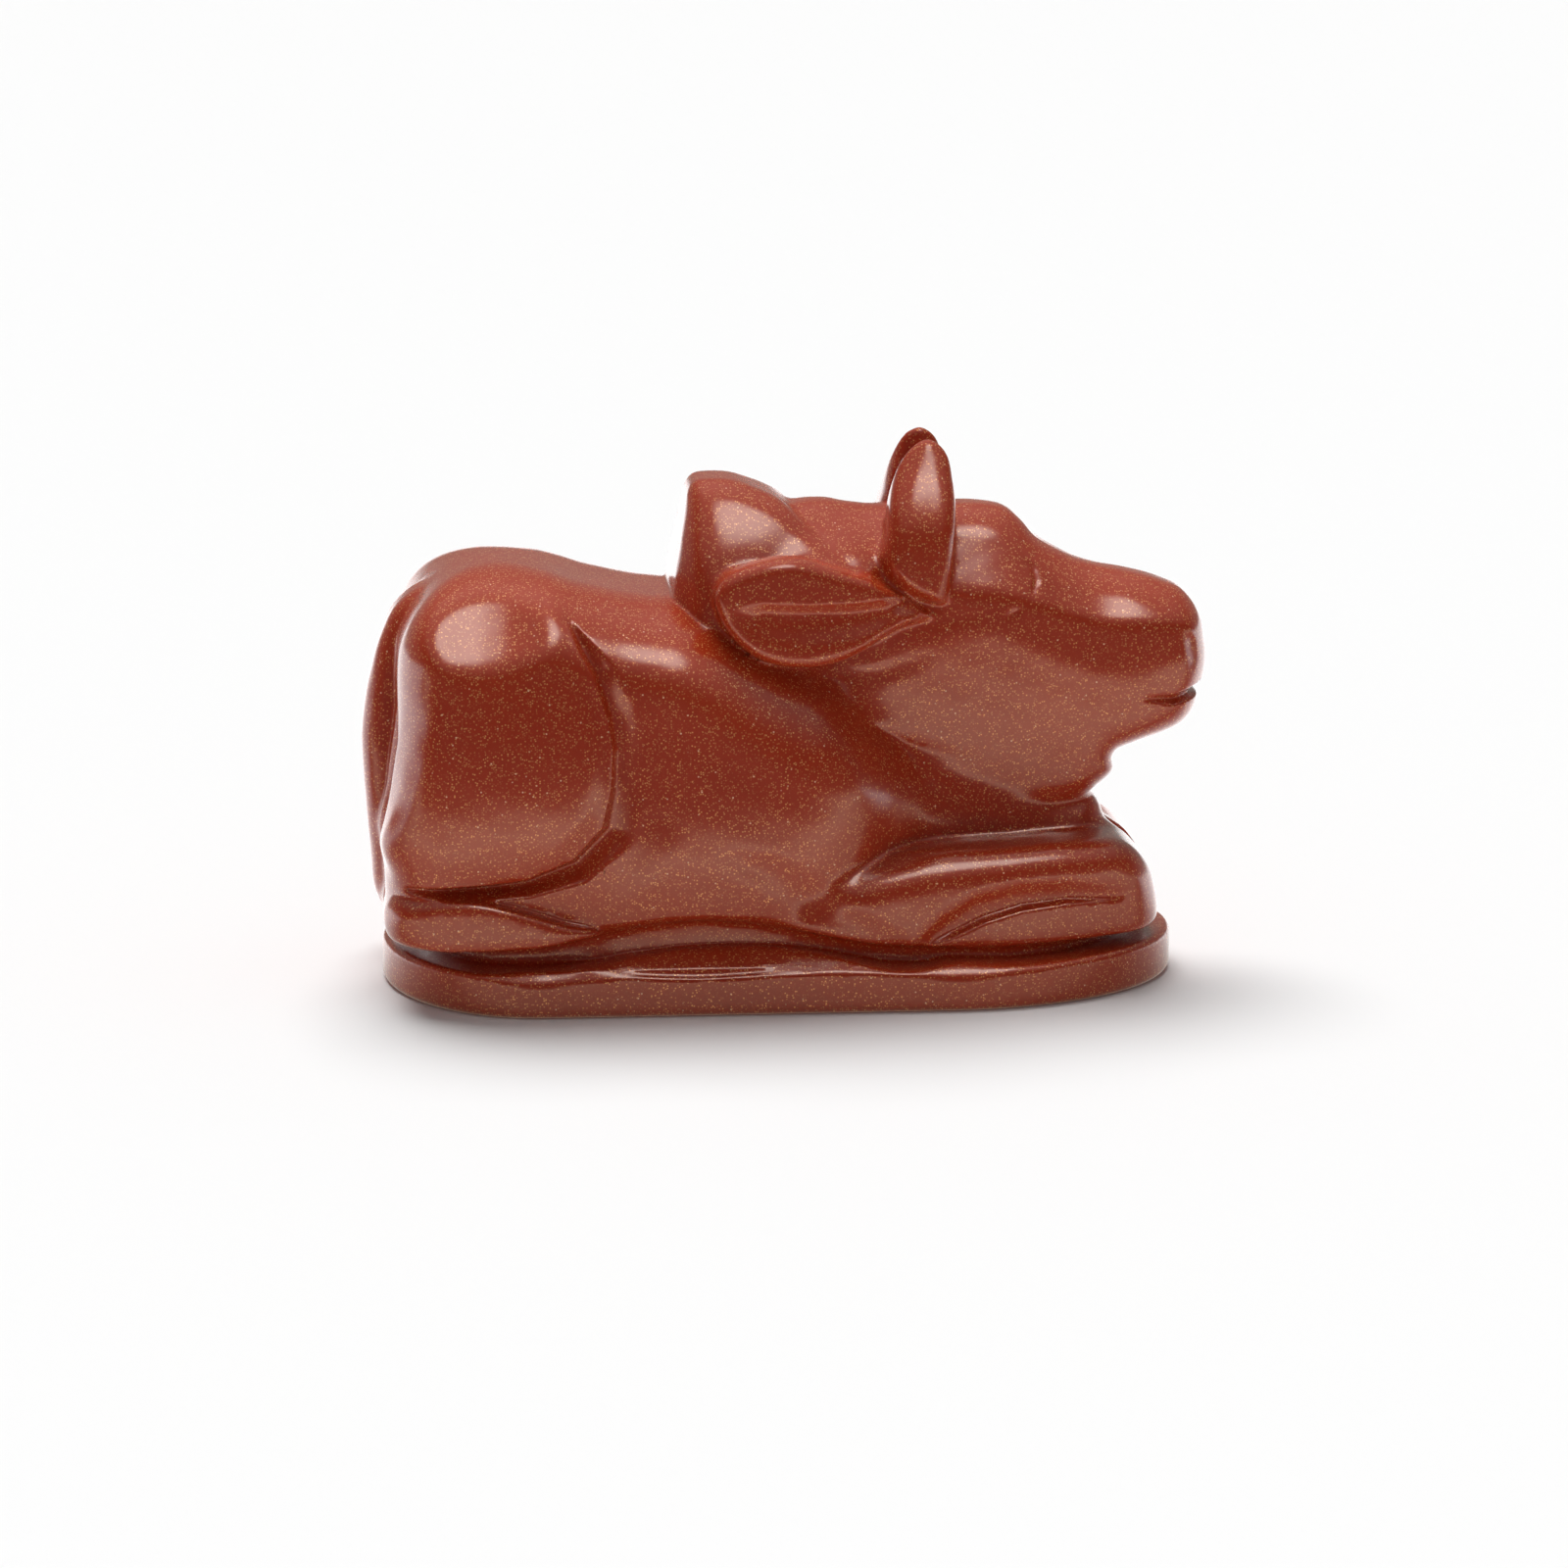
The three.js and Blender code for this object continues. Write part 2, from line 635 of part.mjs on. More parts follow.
function figureGeometry() {
  const { positions, faces } = thinned(carvedSurface(), faceCount);
  const geometry = new THREE.BufferGeometry();
  geometry.setAttribute("position", new THREE.Float32BufferAttribute(positions.flat(), 3));
  geometry.setIndex(faces.flat());
  geometry.scale(share, share, share);
  return geometry.translate(figureForward - figureLength / 2, 0, plinthHeight);
}

const stone = new THREE.MeshStandardMaterial({ color: 0x7d3525, roughness: 0.22, metalness: 0.05 });
const carving = solidOf(plinthGeometry()).add(solidOf(figureGeometry()));

const bull = new THREE.Mesh(geometryOf(carving), stone);
bull.name = "reclining_bull";

const group = new THREE.Group();
group.name = "nandi_bull_figure";
group.add(bull);

export default group;
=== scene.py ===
from math import cos, radians, sin

import bpy
import numpy as np
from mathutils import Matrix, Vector


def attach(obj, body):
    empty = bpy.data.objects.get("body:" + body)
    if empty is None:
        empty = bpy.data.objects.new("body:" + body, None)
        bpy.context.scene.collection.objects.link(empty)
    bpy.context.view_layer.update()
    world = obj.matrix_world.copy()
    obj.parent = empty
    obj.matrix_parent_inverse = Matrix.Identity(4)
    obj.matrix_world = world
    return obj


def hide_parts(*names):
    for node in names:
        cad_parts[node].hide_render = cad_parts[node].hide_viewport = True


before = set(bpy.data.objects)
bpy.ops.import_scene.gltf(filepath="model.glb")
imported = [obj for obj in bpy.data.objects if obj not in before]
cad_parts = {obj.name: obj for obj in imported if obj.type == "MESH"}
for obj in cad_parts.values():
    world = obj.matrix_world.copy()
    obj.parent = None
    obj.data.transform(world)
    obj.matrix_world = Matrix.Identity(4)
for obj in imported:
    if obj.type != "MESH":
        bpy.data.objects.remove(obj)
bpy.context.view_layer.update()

# A small reclining humped bull on its low plinth, carved from one block of glittering brown glass
# stone. Metres, +Z up, the bull looks along +X and the camera sees its right side.

scene = bpy.context.scene
bpy.ops.object.select_all(action="DESELECT")


# Camera, at the height and the turn from which the figure was photographed

cameraSetup = {
    "target": (0.0004, 0.0, 0.01345),
    "distance": 0.42,
    "azimuth": -4.5,
    "elevation": 12.0,
    "lens": 135.29,
    "sensor": 36.0,
    "shiftX": 0.00094,
}


def placeCamera(setup):
    turn, rise = radians(setup["azimuth"]), radians(setup["elevation"])
    back = Vector((sin(turn) * cos(rise), -cos(turn) * cos(rise), sin(rise)))
    bpy.ops.object.camera_add(location=Vector(setup["target"]) + back * setup["distance"])
    camera = bpy.context.object
    camera.name = "photoCamera"
    camera.rotation_mode = "QUATERNION"
    camera.rotation_quaternion = (-back).to_track_quat("-Z", "Y")
    camera.data.lens = setup["lens"]
    camera.data.sensor_width = setup["sensor"]
    camera.data.shift_x = setup["shiftX"]
    camera.data.clip_start = 0.01
    camera.data.clip_end = 50
    scene.camera = camera
    print("camera placed")


placeCamera(cameraSetup)


# The carving. Its places are hundredths of the figure's length: x runs forward from the tail,
# y out from the middle plane and z up from the plinth's top.

bull = {
    "length": 0.060,
    "startX": -0.0296,  # the back of the tail, in metres
    "plinthTop": 0.0033,
    "plinthHalfLength": 47.0,
    "plinthMiddle": 49.333,
    "plinthHalfWidth": 23.333,
    "plinthRearCurve": 18.333,
    "plinthFrontCurve": 28.333,
    "plinthThickness": 5.5,
    "plinthRim": 1.0,
    "plinthBlend": 0.8,
    "coreInset": 5.6,  # of the stone left between the plinth and the bull
    "coreTop": 7.0,
    "ledgeInset": 0.9,
    "ledgeLean": 1.9,  # how far the ledge's side leans in for each unit that it rises
    "ledgeHeight": 4.0,
    "underEdgeRounding": 1.2,
    "rumpFacet": (14.2, 17.2, 39.9),
    "rumpFacetTilt": 41.7,
    "rumpFacetCurve": 0.02,
    "rumpFacetTurn": 0.8,
    "waver": 0.02,
    "underEdgeBlend": 1.6,  # where the stone left standing meets the bull
    "coreBottom": -2.5,
    "ledgeTurn": 0.4,
    "chamferTurn": 0.25,
    "chamferSlope": 0.7,
    "rimDropTurn": 0.3,
    "leastHalf": 1.3,  # no mass gets thinner than this from its middle
    "leastHalfTurn": 1.2,
    "leanTurn": 4.0,
    "tailReach": 16.0,  # how far forward the hollows beside the tail go, and how they fade
    "kneeReach": 84.0,
    "reachFade": 6.0,
    "gridLow": (-3.0, -26.0, -6.6),
    "gridHigh": (102.5, 26.0, 61.0),
    "gridStep": 0.8,
    "divideTurns": (20, 32),  # degrees that the skin turns within a face before it is divided
    "outlineStep": 0.2,
    "outlineMargin": 7.0,
}

# Each mass has its outline from the side, its half thickness along x, and two roundings: "edge",
# in from the outline, and "side", in from the flank. "above" and "under" are levels past which
# the flank slopes in. "narrow" is a level, and how fast the mass thins below and above it.
# "middle" is how far out the mass stands, and "lean" how that changes above a level. "blend" is
# how softly it joins the masses before it.
masses = [
    dict(
        name="trunk",
        outline=[
            (3.2, -2), (2.7, 6), (2.6, 14), (3.4, 22), (4.2, 28), (4.3, 33), (4.8, 37),
            (6.8, 40.6), (10, 43.4), (14.6, 44.9), (20.2, 44.5), (27.1, 42.5), (32.8, 41.3),
            (38, 40.6), (43, 38.6), (48, 35.6), (53, 32.6), (58, 29.6), (63, 25.8), (68, 22.4),
            (73, 20), (78, 18.2), (84, 16.8), (86.9, 15.6), (88.6, 12), (90.1, 8.4), (91, 5),
            (91, -2), (70, -4), (40, -4), (15, -4),
        ],
        half=[
            (0, 20.4), (5, 21.8), (9, 22), (17, 21.4), (24, 21), (32, 21.2), (45, 21.6),
            (52, 21), (57, 18.6), (62, 14.2), (67, 10.6), (74, 8.8), (84, 7.4), (92, 6.6),
        ],
        narrow=(20, 0.007, 0),
        above=[
            (4, 50), (10, 38), (18, 38), (26, 50), (46, 50), (50, 40), (53, 32), (57, 25),
            (62, 20), (70, 18), (92, 18),
        ],
        aboveSlope=0.5, aboveTurn=6,
        edge=[(0, 7), (12, 7), (24, 9), (50, 11), (62, 8), (76, 6), (92, 5)],
        side=[(0, 8), (10, 11), (20, 14), (50, 15), (62, 8), (76, 6), (92, 5)],
    ),
    dict(
        name="neck",
        outline=[
            (46, 49), (51.9, 51.1), (54.8, 51.3), (57.1, 50.9), (60, 50.5), (66, 49.5),
            (71, 42), (72, 32), (66, 24), (56, 22), (46, 26), (42, 36), (42, 45),
        ],
        half=[(42, 12), (50, 10.6), (56, 9.4), (66, 8.6), (72, 8)],
        narrow=(36, 0.004, 0.006), edge=8, side=8, blend=4,
    ),
    dict(
        name="hump",
        outline=[
            (37, 36), (36.8, 42.7), (37.3, 45.6), (38.2, 50.3), (38.7, 52.9), (39.5, 53.9),
            (41.5, 54.2), (43.7, 54.1), (46.7, 53.1), (49.6, 51.7), (52, 49.6), (55, 46.6),
            (58, 43), (59, 38), (52, 33), (42, 33),
        ],
        half=[(36, 8.8), (37.6, 10.6), (39.4, 13), (41.4, 13.8), (46.6, 13.5), (52, 12.4), (58, 11)],
        narrow=(39, 0, 0.0385),
        edge=2, side=[(36, 1.6), (42, 2), (58, 3)], blend=0.8,
    ),
    dict(
        name="haunch",
        outline=[
            (5.2, 9.6), (9.8, 9.6), (14.9, 9.8), (19, 10.1), (24.6, 12.6), (28.1, 16.4),
            (29.3, 20.4), (29.6, 25.1), (28.9, 29.3), (26.8, 34.5), (24.2, 38.4), (20, 41.4),
            (14, 41.2), (10, 38), (7.6, 33), (6.2, 27), (4.4, 20), (2.2, 13.6),
        ],
        half=[(0, 20.4), (8, 22.2), (15, 23), (23, 22.7), (30, 21.6)],
        narrow=(22.6, 0.012, 0.014),
        above=[(5, 44), (10, 36.6), (18, 36.6), (24, 44), (30, 46)], aboveSlope=0.46, aboveTurn=1,
        edge=[(4, 5), (9, 2.6), (21, 2.6), (30, 6)], side=4, blend=1.4,
    ),
    dict(
        name="hind foot",
        outline=[
            (2.4, 5.8), (3.6, 7.8), (8, 8.5), (13.5, 8.1), (18.1, 6.9), (22.7, 5.3), (28, 3.5),
            (26, 1.4), (18, 1), (12, 1), (6, 1.4), (3, 2.8),
        ],
        half=[(2, 18.4), (7, 21.4), (14, 22.8), (22, 22.3), (28, 20.2)],
        edge=[(3, 3), (9, 1.6), (14, 0.9), (28, 0.9)], side=[(3, 4), (9, 2), (14, 1), (28, 1)],
        blend=0.5,
    ),
    dict(
        name="upper arm",
        outline=[
            (46, 0), (50, 6.6), (56, 10.2), (63, 11.8), (74.7, 12.1), (84, 12.3), (88.4, 11.9),
            (91, 9.5), (92, 5), (92, 0), (84, -1), (74, -1), (60, -1),
        ],
        half=[(46, 18.6), (56, 19), (60, 19.3), (66, 19), (75, 17.8), (84, 15.6), (90, 12.8), (94, 10)],
        above=[(52, 7.4), (60, 9.6), (65, 10.8), (70, 13), (94, 13)], aboveSlope=0.86,
        aboveTurn=0.4,
        edge=[(54, 4), (66, 3), (74, 2.4), (92, 2.4)], side=[(54, 4), (66, 3), (74, 2.6), (92, 3)],
        blend=[(52, 3), (60, 1.6), (72, 1.1), (94, 1)],
    ),
    dict(
        name="foreleg",
        outline=[
            (44, -1), (49, 5), (55, 8.4), (60, 9.6), (64, 10.2), (74.7, 10.8), (84, 11.2), (89.4, 11),
            (92.4, 8.6), (93.5, 5.4), (93.8, 2.6), (92.6, 0), (84, -1), (74, -1), (58, -1),
        ],
        half=[(44, 18), (52, 19.4), (57, 20.2), (61, 20.4), (66, 19.9), (75, 18.5), (84, 16.4), (90, 14),
              (94, 11.4)],
        edge=[(55, 3), (66, 2.2), (86, 2), (92, 2.8)], side=[(55, 3), (66, 2.4), (86, 2.2), (92, 3.4)],
        blend=[(54, 3), (58, 2.4), (62, 1.8), (94, 1.8)],
    ),
    dict(
        name="tail",
        outline=[
            (3.5, 1), (2.4, 3.4), (1.4, 5.8), (1.1, 9.4), (0.7, 14.2), (0.4, 18.9), (0.2, 23.6),
            (0.5, 27.2), (1.4, 31.9), (2.8, 36.4), (4.6, 39.6), (7.5, 41.6), (10, 40), (9, 30),
            (8, 16), (8, 4), (6, 2),
        ],
        half=4.6, edge=2.6, side=3, blend=0.6,
    ),
    dict(
        name="head",
        outline=[
            (52, 36), (54, 28), (58, 21.5), (64, 17), (72, 14), (80, 14), (85, 15.5),
            (87.7, 17.5), (88.6, 18.4), (89, 19.3), (88.8, 20.4), (89.3, 21.4), (91.2, 22.2),
            (94.7, 23.3), (97, 24.2), (98.4, 25.4), (99, 26.6), (99.2, 27.6), (99.5, 28.6),
            (99.9, 29.6), (100.2, 31.6), (99.9, 34.5), (99.2, 37.5), (97.4, 39.9), (95, 41.1),
            (90.9, 42.3), (86.2, 43.3), (82.7, 44.8), (79.8, 46.6), (78, 48.6), (76.3, 50),
            (74.5, 50.5), (70.1, 50.7), (64, 50.3), (58, 48), (53, 43),
        ],
        half=[
            (50, 8.6), (58, 10), (64, 10.6), (70, 10.9), (75, 10.7), (79, 10.3), (84, 9.5),
            (87, 9.25), (91, 9.1), (94, 8.6), (98, 7.4), (100, 6.2),
        ],
        above=[(60, 42.8), (70, 41.6), (76, 40.8), (84, 38.4), (88, 37.5), (92, 37.3), (100, 36.6)],
        aboveSlope=[(70, 0.67), (78, 0.69), (85, 0.88), (100, 0.88)], aboveTurn=1,
        under=[
            (54, 29), (61.2, 33), (65, 34.9), (68.3, 36.2), (72.5, 37.2), (75.3, 37), (78.2, 35.4),
            (82, 33.4), (87.4, 31.8), (92.2, 31.9), (96.4, 32.4),
        ],
        underSlope=0.17, underTurn=1.2,
        edge=[(50, 5), (64, 3.4), (80, 3.2), (90, 3), (96, 3.4), (100, 4.5)],
        side=[(50, 5), (64, 3.4), (80, 3.6), (90, 3.4), (96, 3.6), (100, 4.5)],
        blend=1.6,
    ),
    dict(
        name="horn",
        outline=[
            (60.9, 44.4), (61.4, 48.3), (61.9, 52.1), (63, 55.5), (64.7, 57.8), (66.7, 58.8),
            (68.6, 57.4), (69.5, 53.4), (69.4, 48.2), (68.9, 43.5), (68, 40.2), (66.1, 40.2),
            (63, 41.7),
        ],
        middle=8.3, half=4.5, lean=(47, -0.3), narrow=(47, 0, 0.036), edge=2.4, side=2.6,
        blend=0.6,
    ),
    dict(
        name="ear root",
        outline=[
            (47, 43.6), (51, 47.2), (57, 48.2), (63, 46), (66.5, 42), (66, 38.6), (62, 37.4),
            (55, 37.6), (49, 39.6),
        ],
        half=[(47, 14), (54, 13.6), (60, 12.4), (67, 10.4)], narrow=(40, 0, 0.05),
        edge=4, side=4, blend=2.4,
    ),
    dict(
        name="ear",
        outline=[
            (66.5, 39), (64.5, 41.6), (62, 43), (58.3, 44.2), (54.1, 45.6), (51.2, 46.6),
            (48.6, 46.8), (45.3, 46.2), (42.1, 44.7), (40.9, 42.4), (41.8, 39.4), (43.7, 36.8),
            (46.7, 34.8), (51.2, 34), (55.6, 34.4), (59.8, 36.2), (63.1, 38),
        ],
        middle=[(41, 15), (50, 14.8), (58, 12.6), (66, 9.4)],
        half=2.9, edge=1.6, side=1.8, blend=1,
    ),
]

# Strokes cut from the sides, as (x, z, width to the left of the stroke, width to its right, depth).
# "beyond" is how far out from the middle plane the tool works.
strokes = [
    dict(beyond=14, line=[  # round the haunch, crisp on the haunch's side
        (24.1, 40, 0.5, 0.3, 0.1), (25.4, 37.4, 1.4, 0.6, 0.9), (27.3, 34.2, 2.4, 0.7, 1.3),
        (28.9, 29.7, 2.8, 0.9, 1.1), (29.6, 25.5, 3, 1, 0.9), (29.4, 20.8, 3, 1, 1.1),
        (28.4, 16.1, 3, 1, 1.7), (24.6, 12, 2.4, 0.9, 2.2), (19, 9.8, 1.6, 0.8, 2.4),
        (14.9, 9.3, 1.3, 0.8, 2.4), (9.8, 9.2, 1.1, 0.7, 2.2), (5.4, 9.3, 0.8, 0.5, 0.5),
    ]),
    dict(beyond=14, line=[  # flank beside the haunch
        (31, 36, 4, 4, 0.1), (33, 27, 5, 5, 0.4), (33, 18, 5, 5, 0.4), (30, 11, 4, 4, 0.2),
    ]),
    dict(beyond=14, line=[  # elbow
        (43, 12.4, 2, 2, 0.1), (47.3, 10.8, 2.6, 2.8, 0.32), (51, 7.6, 3, 3.2, 0.4),
        (56.6, 4.2, 2.8, 3, 0.45), (62, 1.8, 1.8, 1.8, 0.3),
    ]),
    dict(beyond=8, line=[  # between forearm and shin
        (64, 1.2, 1.4, 0.6, 0.3), (68.4, 3.2, 3, 0.8, 1.2), (72, 4.8, 3.4, 0.9, 1.5),
        (76.4, 5.9, 3.2, 0.9, 1.5), (82, 6.3, 2.6, 0.8, 1.1), (88.6, 5.9, 1.4, 0.6, 0.2),
    ]),
    dict(beyond=12, line=[  # hollow of the ear, under its step
        (43, 40.6, 1.2, 1.8, 0.1), (46.4, 40.5, 1.7, 3.6, 0.9), (51.3, 40.2, 1.6, 4.6, 1.35),
        (57, 40, 1.6, 4, 1.4), (61, 40.2, 1.6, 2.8, 1.1), (66, 40.8, 1.2, 1.2, 0.1),
    ]),
    dict(beyond=5, line=[  # root of the horn
        (60, 46, 1.4, 1.4, 0.1), (60.8, 43.8, 2, 1.8, 0.7), (62.8, 41.4, 2.2, 2, 0.9),
        (65.4, 40, 2, 1.8, 0.7), (69, 39.6, 1.4, 1.4, 0.1),
    ]),
    dict(beyond=0, line=[  # mouth
        (92.4, 28.2, 0.5, 0.5, 0.2), (95.6, 27.9, 0.8, 0.8, 1.1), (98, 28.3, 1, 0.8, 1.5),
        (102, 29.2, 1, 0.8, 1.5),
    ]),
    dict(beyond=5, line=[  # fold over the cheek
        (60, 37, 1, 1.6, 0.1), (66, 38, 1, 1.6, 0.25), (73, 39, 0.8, 1.2, 0.1),
    ]),
    dict(beyond=5, line=[  # folds behind the cheek
        (54, 31.6, 1.2, 2, 0.1), (60, 32.2, 1.2, 2, 0.3), (66, 34.4, 1, 1.6, 0.1),
    ]),
    dict(beyond=5, line=[
        (55, 28.4, 1.2, 1.6, 0.1), (59, 26, 1.2, 1.8, 0.35), (64, 23.2, 1, 1.8, 0.3),
        (70, 21.6, 1, 1.6, 0.05),
    ]),
    dict(beyond=3, line=[  # front of the hump
        (50, 51.8, 1, 0.7, 0.1), (52.4, 49.6, 1.5, 0.8, 0.35), (55, 46.8, 1.6, 0.9, 0.3),
        (57, 44.8, 1.2, 0.7, 0.1),
    ]),
    dict(beyond=6, line=[  # front of the eye
        (77.6, 44.7, 0.5, 0.4, 0.05), (78.7, 43.8, 0.8, 0.4, 0.28), (79, 42.4, 0.8, 0.4, 0.3),
        (78.4, 41, 0.6, 0.4, 0.08),
    ]),
    dict(beyond=6, line=[  # lower rim of the eye
        (75.2, 38.4, 0.6, 0.4, 0.05), (76.4, 39, 0.9, 0.4, 0.25), (77.6, 39.8, 0.6, 0.4, 0.05),
    ]),
    dict(beyond=3, side=1, line=[  # the left horn is slimmer behind
        (60.4, 47, 1, 1, 0.3), (61.4, 51, 1.8, 1.6, 1.1), (62.2, 54.4, 1.8, 1.6, 1.1),
        (64, 57.8, 1.2, 1.2, 0.3),
    ]),
    dict(beyond=2.5, line=[  # nostril
        (96.6, 36.2, 0.7, 0.8, 0.1), (97.6, 34.8, 0.8, 1.2, 0.4), (98, 32.6, 0.8, 1.2, 0.3),
        (97.6, 31, 0.6, 0.7, 0.1),
    ]),
]

lowerEdge = [
    (0, 2), (7, 2.2), (14, 2.4), (20, 2.6), (26.4, 3.4), (32, 4.3), (38, 4.9), (45, 4.5),
    (51, 3.4), (58, 2), (65, 1.4), (75, 1), (84, 1.1), (94, 1.4),
]
# The top of the ledge that is left standing on the plinth below the belly
ledgeTop = [(20, -1), (26, 0), (31, 0.9), (37, 1.6), (44, 1.8), (50, 1.4), (56, 0.4), (61, -1)]
# How far the plinth's rim is ground down along x, and how wide its upper edge is chamfered
rimDrop = [(4, 0.2), (13, 0.5), (19, 0.1), (26, 0.1), (33, 0.7), (40, 0.9), (50, 0.4), (56, 0.3),
           (64, 0.8), (68, 0.2), (76, 0.6), (86, 0.3), (94, 0)]
rimChamfer = [(4, 0.5), (13, 0.8), (19, 1.3), (26, 0.9), (33, 0.6), (40, 0.9), (47, 0.7),
              (55, 0.5), (62, 0.8), (68, 1.3), (76, 1.1), (84, 0.7), (92, 0.5)]
tailHollow = [
    (6.4, 36.5, 1.5, 1.5, 0.1), (9, 31, 4, 4, 1.5), (10.4, 25, 4.8, 4.8, 3),
    (10, 16, 4.4, 4.4, 3), (8, 7, 3, 3, 1),
]
kneeParting = [(0, 12, 1.5, 1.5, 0.2), (0, 9, 2.6, 2.6, 2.6), (0, -2, 2.8, 2.8, 3)]


def easedProfile(pairs):
    # a smooth run through (x, value) pairs, kept as a table to look up
    if isinstance(pairs, (int, float)):
        pairs = [(0, pairs), (1, pairs)]
    at = np.array([p[0] for p in pairs], float)
    value = np.array([p[1] for p in pairs], float)
    before = np.r_[0, np.arange(len(at) - 1)]
    after = np.r_[np.arange(1, len(at)), len(at) - 1]
    slope = (value[after] - value[before]) / (at[after] - at[before])
    x = np.linspace(-10, 110, 1201)
    inRange = np.clip(x, at[0], at[-1] - 1e-6)
    i = np.clip(np.searchsorted(at, inRange, side="right") - 1, 0, len(at) - 2)
    run = at[i + 1] - at[i]
    t = (inRange - at[i]) / run
    u = 1 - t
    bend = t * u * u * run * slope[i] - t * t * u * run * slope[i + 1]
    return x, value[i] + (value[i + 1] - value[i]) * t * t * (3 - 2 * t) + bend


def closedCurve(points, perSpan=6):
    # a smooth closed line through the points, with knots spaced by the root of their distance
    p = np.array(points, float)
    a, b, c, d = np.roll(p, 1, 0), p, np.roll(p, -1, 0), np.roll(p, -2, 0)
    gap = [np.sqrt(np.linalg.norm(v - u, axis=1))[:, None] for u, v in ((a, b), (b, c), (c, d))]
    startTurn = ((b - a) / gap[0] - (c - a) / (gap[0] + gap[1]) + (c - b) / gap[1]) * gap[1]
    endTurn = ((c - b) / gap[1] - (d - b) / (gap[1] + gap[2]) + (d - c) / gap[2]) * gap[1]
    line = []
    for t in np.arange(perSpan) / perSpan:
        line.append(b + startTurn * t + (3 * (c - b) - 2 * startTurn - endTurn) * t ** 2
                    + (2 * (b - c) + startTurn + endTurn) * t ** 3)
    return np.stack(line, 1).reshape(-1, 2)


def outlineTable(points):
    # signed distance to the outline, on a grid that reaches a little past it
    line = closedCurve(points)
    step, margin = bull["outlineStep"], bull["outlineMargin"]
    low = line.min(0) - margin
    size = np.ceil((line.max(0) + margin - low) / step).astype(int) + 1
    x, z = np.meshgrid(low[0] + np.arange(size[0]) * step,
                       low[1] + np.arange(size[1]) * step, indexing="ij")
    nearest = np.full(x.shape, 1e9)
    inside = np.zeros(x.shape, bool)
    for (ax, az), (bx, bz) in zip(line, np.roll(line, -1, 0)):
        ex, ez = bx - ax, bz - az
        along = np.clip(((x - ax) * ex + (z - az) * ez) / (ex * ex + ez * ez + 1e-12), 0, 1)
        nearest = np.minimum(nearest, (x - ax - along * ex) ** 2 + (z - az - along * ez) ** 2)
        if abs(ez) > 1e-12:
            inside ^= ((az > z) != (bz > z)) & (x < ax + (z - az) / ez * ex)
    nearest = np.sqrt(nearest)
    return low, step, np.where(inside, -nearest, nearest)


def lookUp(table, x, z):
    low, step, grid = table
    u = np.clip((x - low[0]) / step, 0, grid.shape[0] - 1.001)
    v = np.clip((z - low[1]) / step, 0, grid.shape[1] - 1.001)
    i, j = u.astype(int), v.astype(int)
    u, v = u - i, v - j
    return ((grid[i, j] * (1 - u) + grid[i + 1, j] * u) * (1 - v)
            + (grid[i, j + 1] * (1 - u) + grid[i + 1, j + 1] * u) * v)


def strokeDepth(line, x, z):
    deepest = np.zeros(len(x))
    for (ax, az, aLeft, aRight, aDeep), (bx, bz, bLeft, bRight, bDeep) in zip(line, line[1:]):
        reach = max(aLeft, aRight, bLeft, bRight)
        near = np.flatnonzero((x > min(ax, bx) - reach) & (x < max(ax, bx) + reach)
                              & (z > min(az, bz) - reach) & (z < max(az, bz) + reach))
        if not len(near):
            continue
        ex, ez = bx - ax, bz - az
        px, pz = x[near] - ax, z[near] - az
        t = np.clip((px * ex + pz * ez) / (ex * ex + ez * ez), 0, 1)
        onLeft = ex * pz - ez * px > 0
        width = np.where(onLeft, aLeft + t * (bLeft - aLeft), aRight + t * (bRight - aRight))
        away = np.hypot(px - t * ex, pz - t * ez) / width
        depth = (aDeep + t * (bDeep - aDeep)) * np.clip(1 - away ** 2, 0, 1) ** 2
        deepest[near] = np.maximum(deepest[near], depth)
    return deepest


def softUnion(a, b, blend):
    near = np.maximum(blend - np.abs(a - b), 0) / np.maximum(blend, 0.01)
    return np.minimum(a, b) - near ** 2 * blend / 4


def softOver(value, turn):
    # value where it is over zero, eased in over the length of the turn
    return -softUnion(-value, np.zeros_like(value), turn)


def prepareMass(mass):
    ready = dict(mass)
    ready["outline"] = outlineTable(mass["outline"])
    for name in ("middle", "half", "edge", "side", "blend"):
        ready[name] = easedProfile(mass.get(name, 0))
    for name in ("above", "aboveSlope", "under"):
        if name in mass:
            ready[name] = easedProfile(mass[name])
    low, step, grid = ready["outline"]
    ready["low"] = low + 1
    ready["high"] = low + (np.array(grid.shape) - 1) * step - 1
    return ready


readyMasses = [prepareMass(mass) for mass in masses]
lowerEdgeTable = easedProfile(lowerEdge)
ledgeTopTable = easedProfile(ledgeTop)
rimDropTable, rimChamferTable = easedProfile(rimDrop), easedProfile(rimChamfer)
print("outlines drawn:", ", ".join(mass["name"] for mass in masses))


